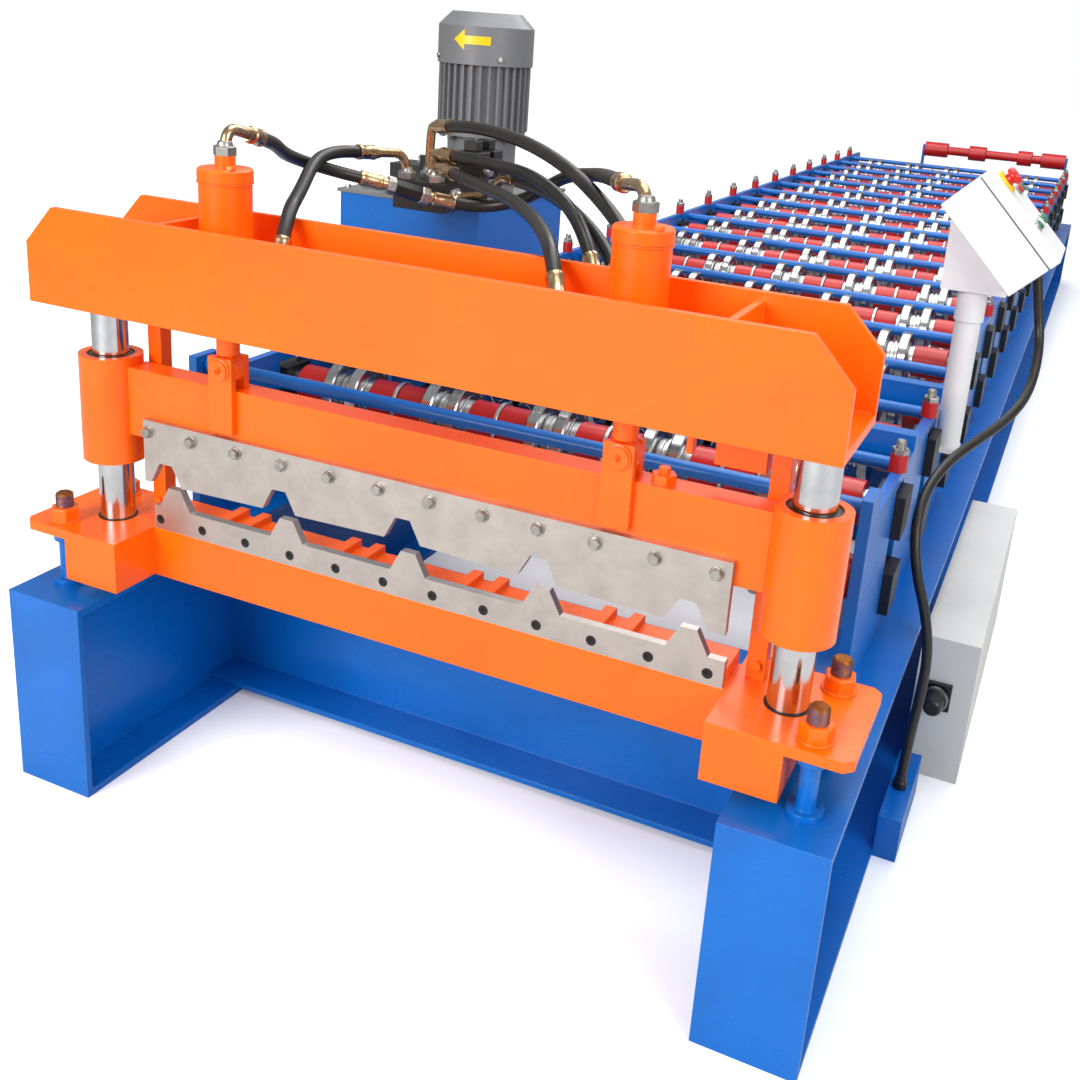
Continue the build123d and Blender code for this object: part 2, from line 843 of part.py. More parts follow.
parts = {
    "left_frame_beam": mirrored(right_beam),
    "right_frame_beam": right_beam,
    "frame_cross_members": cross_members(),
    "levelling_studs": levelling_studs(),
    "stud_nuts": stud_nuts(),
    "shear_base_beam": base_beam(),
    "left_base_block": mirrored(right_foot),
    "right_base_block": right_foot,
    "left_guide_column": mirrored(right_column),
    "right_guide_column": right_column,
    "crosshead_front_plate": crosshead_side(crosshead_front),
    "crosshead_rear_plate": crosshead_side(crosshead_back),
    "crosshead_floor": crosshead_floor_plate(),
    "crosshead_ribs": crosshead_ribs(),
    "rear_guide_posts": rear_posts(),
    "limit_bracket": limit_bracket(),
    "left_cylinder": cylinder(cylinder_x[0]),
    "right_cylinder": cylinder(cylinder_x[1]),
    "lower_blade": lower_blade(),
    "sheet_fingers": sheet_fingers(),
    "moving_beam": moving_beam(),
    "left_guide_sleeve": mirrored(right_sleeve),
    "right_guide_sleeve": right_sleeve,
    "upper_blade": upper_blade(),
    "clevis_ears": group(clevis(cylinder_x[0]) + clevis(cylinder_x[1])),
    "clevis_pins": group([clevis_pin(x) for x in cylinder_x]),
    "left_piston_rod": piston_rod(cylinder_x[0]),
    "right_piston_rod": piston_rod(cylinder_x[1]),
    "left_side_wall": mirrored(right_wall),
    "right_side_wall": right_wall,
    "bearing_blocks": group(bearing_blocks(-1) + bearing_blocks(1)),
    "adjusting_screws": adjusting_screws(),
    "screw_collars": screw_collars(),
    "tie_bars": tie_bars(),
    "upper_roll_shafts": group(roll_shaft(y, upper_shaft_z, upper_roll_diameter) for y in station_ys),
    "lower_roll_shafts": group(roll_shaft(y, lower_shaft_z, lower_roll_diameter) for y in station_ys),
    "roll_spacers": group(spacer_tubes(upper_shaft_z) + spacer_tubes(lower_shaft_z)),
    "bridge_rails": exit_rails(),
    "entry_table": entry_table(),
    "entry_rollers": entry_rollers(),
    "drive_guard": drive_guard(),
    "drive_foot": drive_foot(),
    "control_post": control_post(),
    "desk_bracket": desk_bracket(),
    "control_desk": desk_box(),
    "desk_buttons": desk_buttons(),
    "stop_button": stop_button(),
    "pump_tank": pump_tank(),
    "tank_lid": tank_lid(),
    "valve_block": valve_block(),
    "motor_bell": motor_bell(),
    "pump_motor": pump_motor(),
    "motor_fan_cover": fan_cover(),
}

# The origin moves to the middle of the footprint
home = Pos(-origin_x, -origin_y, 0)


def placed(shape):
    """The finished piece about the final origin, as plain solids."""
    solids = [home * solid for solid in shape.solids()]
    return solids[0] if len(solids) == 1 else Compound(solids)



os.makedirs("parts", exist_ok=True)
for name, shape in parts.items():
    export_step(placed(shape), f"parts/{name}.step")
    print(name, round(shape.volume / 1e6, 2), "litres")
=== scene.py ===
"""The looks of a roll forming machine for roof sheet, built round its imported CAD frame.

Sizes are in the working millimetres of the machine: X across, Y along the line from the shear,
Z up from the floor, with zero at the shear end midway between the beams. One function turns them
into the metres of the row frame.
"""

import json
import logging
import math
from dataclasses import dataclass, field
from enum import Enum
from typing import Iterable, Sequence

import bmesh
import bpy
from mathutils import Matrix, Vector

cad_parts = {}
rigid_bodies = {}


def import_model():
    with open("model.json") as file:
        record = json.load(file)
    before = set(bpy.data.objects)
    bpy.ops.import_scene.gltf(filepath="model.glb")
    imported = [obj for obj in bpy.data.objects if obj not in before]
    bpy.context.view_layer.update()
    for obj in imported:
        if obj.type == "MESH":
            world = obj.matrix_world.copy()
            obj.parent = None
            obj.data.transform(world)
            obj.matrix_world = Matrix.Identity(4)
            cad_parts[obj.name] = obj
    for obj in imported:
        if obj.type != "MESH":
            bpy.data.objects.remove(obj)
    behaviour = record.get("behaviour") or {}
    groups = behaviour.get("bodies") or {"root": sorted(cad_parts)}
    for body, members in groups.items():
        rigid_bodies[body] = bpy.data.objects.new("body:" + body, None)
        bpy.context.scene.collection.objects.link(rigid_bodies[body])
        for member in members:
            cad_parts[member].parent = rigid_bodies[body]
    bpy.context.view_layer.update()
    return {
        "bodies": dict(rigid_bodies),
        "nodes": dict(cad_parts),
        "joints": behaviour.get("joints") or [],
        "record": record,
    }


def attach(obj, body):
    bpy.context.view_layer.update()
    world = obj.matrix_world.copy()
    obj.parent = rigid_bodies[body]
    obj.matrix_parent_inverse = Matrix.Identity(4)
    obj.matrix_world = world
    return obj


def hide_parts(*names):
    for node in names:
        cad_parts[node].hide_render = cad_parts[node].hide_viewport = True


LOG = logging.getLogger("roll_forming_machine")

ORIGIN = Vector((57.5, 3670.0, 0.0))
MACHINE = "machine"
SLIDE = "shear_slide"
SHARP_ANGLE = math.radians(32)
Point = tuple[float, float, float]
Profile = Sequence[tuple[float, float]]
Route = tuple[Point, ...]
Colour = tuple[float, float, float, float]
RIGHT = (1, 0, 0)
LEFT = (-1, 0, 0)
FRONT = (0, -1, 0)
UP = (0, 0, 1)
DOWN = (0, 0, -1)


def row(point: Sequence[float]) -> Vector:
    """Turns a place in working millimetres into metres of the row frame.

    Args:
        point: X, Y and Z in working millimetres.

    Returns:
        The same place in metres of the row frame.
    """
    return (Vector(point) - ORIGIN) / 1000


def linear(code: str) -> Colour:
    """Turns an sRGB hex value into linear light.

    Args:
        code: Six hex digits, such as ff7a00.

    Returns:
        Linear red, green, blue and a full alpha.
    """
    parts = [int(code[i : i + 2], 16) / 255 for i in (0, 2, 4)]
    light = [c / 12.92 if c <= 0.04045 else ((c + 0.055) / 1.055) ** 2.4 for c in parts]
    return (light[0], light[1], light[2], 1.0)


def add(
    tree: bpy.types.NodeTree,
    kind: str,
    settings: dict[str, object] | None = None,
    links: dict[str, bpy.types.NodeSocket] | None = None,
) -> bpy.types.Node:
    """Adds a node with its settings and links.

    Args:
        tree: The node tree that takes the node.
        kind: The node's type name without the ShaderNode prefix.
        settings: Values by property name, or by input name or number.
        links: Output sockets by the name or number of the input they feed.

    Returns:
        The new node.
    """
    node = tree.nodes.new("ShaderNode" + kind)
    for key, value in (settings or {}).items():
        if isinstance(key, str) and hasattr(node, key):
            setattr(node, key, value)
        else:
            node.inputs[key].default_value = value
    for key, socket in (links or {}).items():
        tree.links.new(socket, node.inputs[key])
    return node


class Grain(Enum):
    """The axis along which a metal surface was worked, counted from X."""

    ACROSS = 0
    ALONG = 1
    UPRIGHT = 2


@dataclass(frozen=True)
class EnamelPaint:
    """Gloss enamel sprayed on welded steel.

    The spray leaves a faint orange peel of about two millimetres, the coat thins to a paler
    line on each edge, and dust and hands leave the gloss uneven.
    """

    name: str
    colour: str
    shade: str
    edge: str
    gloss: float = 0.24
    dulling: float = 0.16
    peel_mm: float = 2.2
    cloud_mm: float = 260.0
    wear: float = 0.75
    edge_mm: float = 2.4
    edge_turn: tuple[float, float] = (0.995, 0.86)
    chip_mm: float = 9.0
    peel: float = 0.05
    peel_depth_mm: float = 0.4
    ior: float = 1.45
    coat: float = 0.08
    coat_roughness: float = 0.1

    def build(self) -> bpy.types.Material:
        """Makes the material.

        Returns:
            The material.
        """
        material, tree, shader = new_material(self.name)
        place = add(tree, "TexCoord").outputs["Object"]
        cloud = add(
            tree, "TexNoise", {"Scale": 1000 / self.cloud_mm, "Detail": 5.0, "Roughness": 0.6},
            {"Vector": place},
        ).outputs["Fac"]
        peel = add(
            tree, "TexNoise", {"Scale": 1000 / self.peel_mm, "Detail": 2.0}, {"Vector": place}
        ).outputs["Fac"]
        chips = add(
            tree, "TexNoise", {"Scale": 1000 / self.chip_mm, "Detail": 6.0, "Roughness": 0.7},
            {"Vector": place},
        ).outputs["Fac"]
        shaded = add(tree, "MapRange", {"From Min": 0.42, "From Max": 0.78}, {"Value": cloud})
        body = add(
            tree, "Mix", {"data_type": "RGBA", 6: linear(self.colour), 7: linear(self.shade)},
            {0: shaded.outputs["Result"]},
        )
        rounded = add(tree, "Bevel", {"samples": 4, "Radius": self.edge_mm / 1000})
        flat = add(tree, "NewGeometry")
        closeness = add(
            tree,
            "VectorMath",
            {"operation": "DOT_PRODUCT"},
            {0: rounded.outputs["Normal"], 1: flat.outputs["Normal"]},
        )
        near_edge = add(
            tree, "MapRange", {"From Min": self.edge_turn[0], "From Max": self.edge_turn[1]},
            {"Value": closeness.outputs["Value"]},
        )
        patchy = add(tree, "MapRange", {"From Min": 0.44, "From Max": 0.58}, {"Value": chips})
        rubbed = add(
            tree, "Math", {"operation": "MULTIPLY"},
            {0: near_edge.outputs["Result"], 1: patchy.outputs["Result"]},
        )
        scaled = add(
            tree, "Math", {"operation": "MULTIPLY", 1: self.wear}, {0: rubbed.outputs[0]}
        )
        coloured = add(
            tree,
            "Mix",
            {"data_type": "RGBA", 7: linear(self.edge)},
            {0: scaled.outputs[0], 6: body.outputs[2]},
        )
        dull = self.gloss + self.dulling
        rough = add(
            tree, "MapRange", {"From Min": 0.3, "From Max": 0.75, "To Min": self.gloss, "To Max": dull},
            {"Value": cloud},
        )
        bump = add(
            tree, "Bump", {"Strength": self.peel, "Distance": self.peel_depth_mm / 1000},
            {"Height": peel, "Normal": rounded.outputs["Normal"]},
        )
        join(tree, shader, {"Base Color": coloured.outputs[2], "Roughness": rough.outputs["Result"],
                            "Normal": bump.outputs["Normal"]})
        shader.inputs["IOR"].default_value = self.ior
        shader.inputs["Coat Weight"].default_value = self.coat
        shader.inputs["Coat Roughness"].default_value = self.coat_roughness
        return material


@dataclass(frozen=True)
class WorkedMetal:
    """Bare or plated metal that shows how it was turned, ground or rolled.

    Fine grooves draw the reflections out across the grain, and patches of oil and handling
    change the roughness.
    """

    name: str
    colour: str
    shade: str
    roughness: float
    spread: float
    grain: Grain = Grain.ALONG
    groove: float = 0.12
    patch_mm: float = 60.0
    # Real grooves are finer than a pixel, so they are drawn about a millimetre apart.
    groove_mm: float = 1.0416667
    streak_mm: float = 41.666667
    groove_depth_mm: float = 0.3

    def build(self) -> bpy.types.Material:
        """Makes the material.

        Returns:
            The material.
        """
        material, tree, shader = new_material(self.name)
        place = add(tree, "TexCoord").outputs["Object"]
        scale = [1000 / self.groove_mm] * 3
        scale[self.grain.value] = 1000 / self.streak_mm
        stretched = add(tree, "Mapping", {"Scale": scale}, {"Vector": place})
        grooves = add(
            tree, "TexNoise", {"Scale": 1.0, "Detail": 4.0}, {"Vector": stretched.outputs[0]}
        )
        patches = add(
            tree, "TexNoise", {"Scale": 1000 / self.patch_mm, "Detail": 6.0, "Roughness": 0.65},
            {"Vector": place},
        ).outputs["Fac"]
        shaded = add(tree, "MapRange", {"From Min": 0.4, "From Max": 0.72}, {"Value": patches})
        body = add(
            tree, "Mix", {"data_type": "RGBA", 6: linear(self.colour), 7: linear(self.shade)},
            {0: shaded.outputs["Result"]},
        )
        worn = add(
            tree,
            "Math",
            {"operation": "MULTIPLY_ADD", 1: self.spread, 2: self.roughness - self.spread / 2},
            {0: patches},
        )
        bump = add(
            tree, "Bump", {"Strength": self.groove, "Distance": self.groove_depth_mm / 1000},
            {"Height": grooves.outputs["Fac"]},
        )
        join(tree, shader, {"Base Color": body.outputs[2], "Roughness": worn.outputs[0],
                            "Normal": bump.outputs["Normal"]})
        shader.inputs["Metallic"].default_value = 1.0
        return material


@dataclass(frozen=True)
class MouldedPlastic:
    """Plastic or rubber with a fine moulded grain and a film of dust."""

    name: str
    colour: str
    shade: str
    roughness: float = 0.4
    ior: float = 1.5
    # The real grain is about 0.2 mm, too fine to show, so it is drawn coarser.
    grain_mm: float = 1.2
    bump: float = 0.12
    dust_mm: float = 45.454545
    grain_depth_mm: float = 0.3
    wiped: float = 0.06
    dusty: float = 0.12

    def build(self) -> bpy.types.Material:
        """Makes the material, smoother where it is wiped and duller where dust lies.

        Returns:
            The material.
        """
        material, tree, shader = new_material(self.name)
        place = add(tree, "TexCoord").outputs["Object"]
        grain = add(
            tree, "TexNoise", {"Scale": 1000 / self.grain_mm, "Detail": 3.0}, {"Vector": place}
        )
        dust = add(
            tree, "TexNoise", {"Scale": 1000 / self.dust_mm, "Detail": 7.0, "Roughness": 0.6},
            {"Vector": place},
        ).outputs["Fac"]
        shaded = add(tree, "MapRange", {"From Min": 0.4, "From Max": 0.8}, {"Value": dust})
        body = add(
            tree, "Mix", {"data_type": "RGBA", 6: linear(self.colour), 7: linear(self.shade)},
            {0: shaded.outputs["Result"]},
        )
        low, high = self.roughness - self.wiped, self.roughness + self.dusty
        rough = add(
            tree, "MapRange", {"From Min": 0.3, "From Max": 0.7, "To Min": low, "To Max": high},
            {"Value": dust},
        )
        bump = add(
            tree, "Bump", {"Strength": self.bump, "Distance": self.grain_depth_mm / 1000},
            {"Height": grain.outputs["Fac"]},
        )
        join(tree, shader, {"Base Color": body.outputs[2], "Roughness": rough.outputs["Result"],
                            "Normal": bump.outputs["Normal"]})
        shader.inputs["IOR"].default_value = self.ior
        return material


def new_material(
    name: str,
) -> tuple[bpy.types.Material, bpy.types.NodeTree, bpy.types.Node]:
    """Starts a material with one principled shader.

    Args:
        name: The material's name.

    Returns:
        The material, its node tree and its shader.
    """
    material = bpy.data.materials.new(name)
    material.use_nodes = True
    tree = material.node_tree
    tree.nodes.clear()
    shader = add(tree, "BsdfPrincipled")
    add(tree, "OutputMaterial", {}, {"Surface": shader.outputs["BSDF"]})
    return material, tree, shader


def join(
    tree: bpy.types.NodeTree, node: bpy.types.Node, links: dict[str, bpy.types.NodeSocket]
) -> None:
    """Feeds several inputs of a node.

    Args:
        tree: The node tree.
        node: The node that takes the links.
        links: Output sockets by input name.
    """
    for key, socket in links.items():
        tree.links.new(socket, node.inputs[key])


class Finish(Enum):
    """Every finish on the machine, with the record slot that it belongs to."""

    # Bright gloss coat on the shear, with a softer light along its worn edges.
    ORANGE = (EnamelPaint("orange_enamel", "ff6a00", "f45f00", "ff9440"), "orange_paint")
    # The same coat on the frame, less rubbed, so the long faces stay even.
    BLUE = (EnamelPaint("blue_enamel", "0068c2", "005aac", "52a0e2", wear=0.5), "blue_paint")
    # Gloss coat that makes the spacer tubes stand out between the rolls.
    RED = (EnamelPaint("red_enamel", "c01a18", "a01212", "e0605a", gloss=0.28), "red_paint")
    # Half-matt coat on the motor and the lid, with dull broad highlights.
    GREY = (EnamelPaint("grey_hammer_enamel", "737577", "646668", "a0a2a4", gloss=0.38), "grey_paint")
    # Smooth powder coat on the desk, nearly without highlights.
    WHITE = (
        EnamelPaint("white_powder_coat", "e6e6e8", "dcdcde", "ffffff", gloss=0.4, wear=0.2),
        "white_paint",
    )
    # The same in pale grey on the drive's guard.
    PALE = (
        EnamelPaint("pale_powder_coat", "d6d6d2", "cacac6", "f0f0ec", gloss=0.45, wear=0.2),
        "pale_grey_paint",
    )
    # Dull black coat that keeps the blocks and the manifold dark.
    IRON = (EnamelPaint("black_enamel", "161617", "0e0e0f", "363638", gloss=0.4), "black_iron")
    # Hard chrome, ground round: a near mirror with long clear streaks.
    COLUMN = (
        WorkedMetal("hard_chrome_column", "d0d1d4", "bcbdc0", 0.14, 0.08, Grain.ALONG, 0.04),
        "hard_chrome",
    )
    # Surface-ground steel with a silky sheen across the blade.
    BLADE = (
        WorkedMetal("ground_tool_steel", "c8c0b9", "b4ada6", 0.42, 0.14, Grain.ACROSS, 0.14),
        "ground_steel",
    )
    # Chromed rolls that flash along their rims.
    ROLL = (
        WorkedMetal("turned_chrome_roll", "c4c5c7", "a2a3a5", 0.2, 0.14, Grain.ALONG, 0.1),
        "roll_chrome",
    )
    # Turned steel, lighter and duller than the rolls beside it.
    COLLAR = (
        WorkedMetal("turned_steel_collar", "d8d8d6", "b8b8b4", 0.34, 0.16, Grain.ACROSS, 0.1, 20.0),
        "roll_chrome",
    )
    # Bright zinc with small cloudy patches on bolts and nuts.
    ZINC = (
        WorkedMetal("zinc_plated_steel", "b4b3ae", "8f8e88", 0.36, 0.2, Grain.UPRIGHT, 0.1, 14.0),
        "zinc_steel",
    )
    # Bare thread that has browned in patches.
    RUST = (
        WorkedMetal("rusty_threaded_steel", "a86a34", "70451f", 0.5, 0.25, Grain.UPRIGHT, 0.1, 9.0),
        "orange_paint",
    )
    # Zinc with the warm yellow of its passivation on pipes and ferrules.
    PASSIVATED = (
        WorkedMetal("yellow_passivated_zinc", "c8ab88", "a08462", 0.26, 0.18, Grain.ALONG, 0.1, 12.0),
        "zinc_steel",
    )
    # Black cover rubber with a film of grey dust.
    RUBBER = (MouldedPlastic("hose_rubber", "151412", "2a2622", 0.36, 1.52, 1.6, 0.1), "black_iron")
    # Dense black seal with a faint shine on its lip.
    SEAL = (MouldedPlastic("polyurethane_seal", "101112", "202224", 0.35, 1.5), "black_iron")
    # Glossy red push-button plastic.
    STOP = (MouldedPlastic("red_abs", "d01418", "b01014", 0.25, 1.53), "red_plastic")
    # Glossy green push-button plastic.
    GREEN = (MouldedPlastic("green_abs", "0c7a4c", "0a6038", 0.25, 1.53), "green_plastic")
    # Bright yellow plastic of the stop ring and the arrow.
    YELLOW = (MouldedPlastic("yellow_abs", "f4cc00", "e0b800", 0.3, 1.53), None)
    # Black plastic of the coils and the plug.
    BLACK = (MouldedPlastic("black_abs", "121213", "202022", 0.35, 1.53), "black_iron")
    # Matt grey rubber that draws a line round the door.
    GASKET = (MouldedPlastic("grey_gasket", "6c6d6f", "5c5d5f", 0.5, 1.5), "grey_paint")

    @property
    def material(self) -> bpy.types.Material:
        """The finish's Blender material, made when it is first asked for."""
        made = bpy.data.materials.get(self.value[0].name)
        return made or self.value[0].build()

    @property
    def slot(self) -> str | None:
        """The record's material slot, if the finish has one."""
        return self.value[1]


def square_to(axis: Sequence[float]) -> tuple[Vector, Vector, Vector]:
    """A direction with two others that are square to it and to each other.

    Args:
        axis: The direction, of any length.

    Returns:
        The direction with length one, and the other two.
    """
    along = Vector(axis).normalized()
    out = Vector(RIGHT) if abs(along.z) > 0.9 else along.orthogonal().normalized()
    return along, out, along.cross(out)


def spokes_of(out: Vector, side: Vector, count: int, turn: float = 0.0) -> list[Vector]:
    """Even directions round a hub.

    Args:
        out: The direction of the angle zero.
        side: The direction of a quarter turn.
        count: The number of directions.
        turn: The angle of the first one in radians.

    Returns:
        The directions in order.
    """
    angles = [turn + 2 * math.pi * k / count for k in range(count)]
    return [out * math.cos(a) + side * math.sin(a) for a in angles]


@dataclass
class Forms:
    """Collects forms in one mesh, in working millimetres."""

    mesh: bmesh.types.BMesh = field(default_factory=bmesh.new)

    def skin(self, rings: Sequence[Sequence[Vector]]) -> None:
        """Joins rings of points and caps both ends.

        Args:
            rings: Rings with the same number of points each.
        """
        made = [[self.mesh.verts.new(p) for p in ring] for ring in rings]
        count = len(made[0])
        for near, far in zip(made, made[1:]):
            for i in range(count):
                j = (i + 1) % count
                self.mesh.faces.new((near[i], near[j], far[j], far[i]))
        self.mesh.faces.new(list(reversed(made[0])))
        self.mesh.faces.new(made[-1])

    def lathe(
        self, base: Sequence[float], axis: Sequence[float], profile: Profile, sides: int,
        turn: float = 0.0,
    ) -> None:
        """Turns a profile round an axis.

        Args:
            base: The place where the profile's height is zero.
            axis: The direction of the axis.
            profile: Pairs of height along the axis and radius.
            sides: The number of flat sides, where six makes a hexagon.
            turn: The angle of the first corner in radians.
        """
        along, out, side = square_to(axis)
        origin = Vector(base)
        spokes = spokes_of(out, side, sides, turn)
        self.skin([[origin + along * h + s * r for s in spokes] for h, r in profile])

    def hexagon(
        self, base: Sequence[float], axis: Sequence[float], height: float, flat: float,
        turn: float = 0.0,
    ) -> None:
        """A hexagon nut or head with its corners bevelled at the top.

        Args:
            base: The middle of the underside.
            axis: The direction of the bolt.
            height: The height of the head.
            flat: The width across flats.
            turn: The angle of the first corner in radians.
        """
        corner = flat / math.sqrt(3)
        rim = min(height * 0.18, 2.5)
        profile = [(0, corner), (height - rim, corner), (height, corner * 0.9), (height, 0.1)]
        self.lathe(base, axis, profile, 6, turn)

    def bolt(self, base: Sequence[float], axis: Sequence[float], flat: float, turn: float) -> None:
        """A bolt's head on its washer.

        Args:
            base: The place on the surface.
            axis: The direction out of the surface.
            flat: The width of the head across flats.
            turn: The angle of the first corner in radians.
        """
        r = flat * 0.68
        self.lathe(base, axis, [(0, r), (1.6, r), (2.2, r - 0.6), (2.2, r * 0.5)], 28)
        seat = Vector(base) + Vector(axis).normalized() * 2.2
        self.hexagon(seat, axis, flat * 0.48, flat, turn)

    def thread(
        self, base: Sequence[float], axis: Sequence[float], length: float, diameter: float,
        pitch: float, sides: int,
    ) -> None:
        """A screw thread with a chamfered tip.

        Args:
            base: The middle of the lower end.
            axis: The direction of the screw.
            length: The length of the thread.
            diameter: The outer diameter.
            pitch: The distance from crest to crest.
            sides: The number of points round the screw.
        """
        along, out, side = square_to(axis)
        spokes = spokes_of(out, side, sides)
        radius = diameter / 2
        depth = 0.55 * pitch
        steps = max(4, round(length / pitch * 4))
        rings = []
        for i in range(steps + 1):
            height = length * i / steps
            room = min(1.0, (length - height) / (1.5 * pitch) + 0.35)
            ring = []
            for k, spoke in enumerate(spokes):
                phase = (height / pitch - k / sides) % 1.0
                r = radius - depth * (1 - abs(2 * phase - 1))
                r = min(r, radius * (0.62 + 0.38 * room))
                ring.append(Vector(base) + along * height + spoke * r)
            rings.append(ring)
        self.skin(rings)

    def block(self, low: Sequence[float], high: Sequence[float], tilt: Matrix | None = None) -> None:
        """A box between two corners.

        Args:
            low: The lowest corner.
            high: The highest corner.
            tilt: A placing that is applied to the corners.
        """
        place = tilt or Matrix.Identity(4)
        flat = ((low[0], low[1]), (high[0], low[1]), (high[0], high[1]), (low[0], high[1]))
        self.skin([[place @ Vector((x, y, z)) for x, y in flat] for z in (low[2], high[2])])

    def along(self, line: Sequence[Vector], profile: Profile, sides: int) -> None:
        """Rings that follow a line, each at its distance from the line's start.

        Args:
            line: Points that lie close together.
            profile: Pairs of distance along the line and radius.
            sides: The number of points round each ring.
        """
        out = None
        rings = []
        for distance, radius in profile:
            centre, ahead = place_on(line, distance)
            out = out or ahead.orthogonal().normalized()
            out = (out - ahead * out.dot(ahead)).normalized()
            spokes = spokes_of(out, ahead.cross(out), sides)
            rings.append([centre + spoke * radius for spoke in spokes])
        self.skin(rings)

    def weld(self, start: Sequence[float], end: Sequence[float], radius: float) -> None:
        """A weld bead with its ripples.

        Args:
            start: One end of the seam.
            end: The other end.
            radius: The bead's radius.
        """
        a, b = Vector(start), Vector(end)
        way = (b - a).normalized()
        out = way.orthogonal().normalized()
        spokes = spokes_of(out, way.cross(out), 8)
        steps = max(4, round((b - a).length / 3.0))
        rings = []
        for i in range(steps + 1):
            r = radius * (0.86 + 0.14 * math.cos(i * 2.2) + 0.06 * math.sin(i * 0.7))
            centre = a.lerp(b, i / steps)
            rings.append([centre + spoke * r for spoke in spokes])
        self.skin(rings)

    def piece(
        self, name: str, finish: Finish, body: str = MACHINE, bevel: float = 0.0,
        replaces: Iterable[str] = (),
    ) -> bpy.types.Object:
        """Makes the object from what was collected.

        Args:
            name: The piece's name.
            finish: The piece's finish.
            body: The CAD body that it moves with.
            bevel: The width of rounded edges in millimetres, or zero.
            replaces: The CAD nodes that it stands for.

        Returns:
            The new object.
        """
        bmesh.ops.recalc_face_normals(self.mesh, faces=self.mesh.faces[:])
        for vert in self.mesh.verts:
            vert.co = row(vert.co)
        data = bpy.data.meshes.new(name)
        self.mesh.to_mesh(data)
        self.mesh.free()
        for polygon in data.polygons:
            polygon.use_smooth = True
        data.set_sharp_from_angle(angle=SHARP_ANGLE)
        made = bpy.data.objects.new(name, data)
        bpy.context.scene.collection.objects.link(made)
        made.data.materials.append(finish.material)
        if bevel:
            softened = made.modifiers.new("rounded_edges", "BEVEL")
            softened.width = bevel / 1000
            softened.segments = 2
            softened.limit_method = "ANGLE"
            softened.angle_limit = SHARP_ANGLE
            softened.harden_normals = True
        settle(made, body, replaces)
        return made


def settle(
    made: bpy.types.Object, body: str, replaces: Iterable[str] = ()
) -> None:
    """Tells the frame what a piece rides on and what it stands for.

    Args:
        made: The piece.
        body: The CAD body that it moves with.
        replaces: The CAD nodes that it stands for.
    """
    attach(made, body)
    if replaces:
        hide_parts(*replaces)
    LOG.info("piece %s", made.name)


def paint(frame: dict, finish: Finish, *nodes: str) -> None:
    """Gives CAD nodes a finish.

    Args:
        finish: The finish.
        nodes: The CAD nodes that take it.
    """
    for node in nodes:
        data = frame["nodes"][node].data
        data.materials.clear()
        data.materials.append(finish.material)
        LOG.info("dressed %s", node)


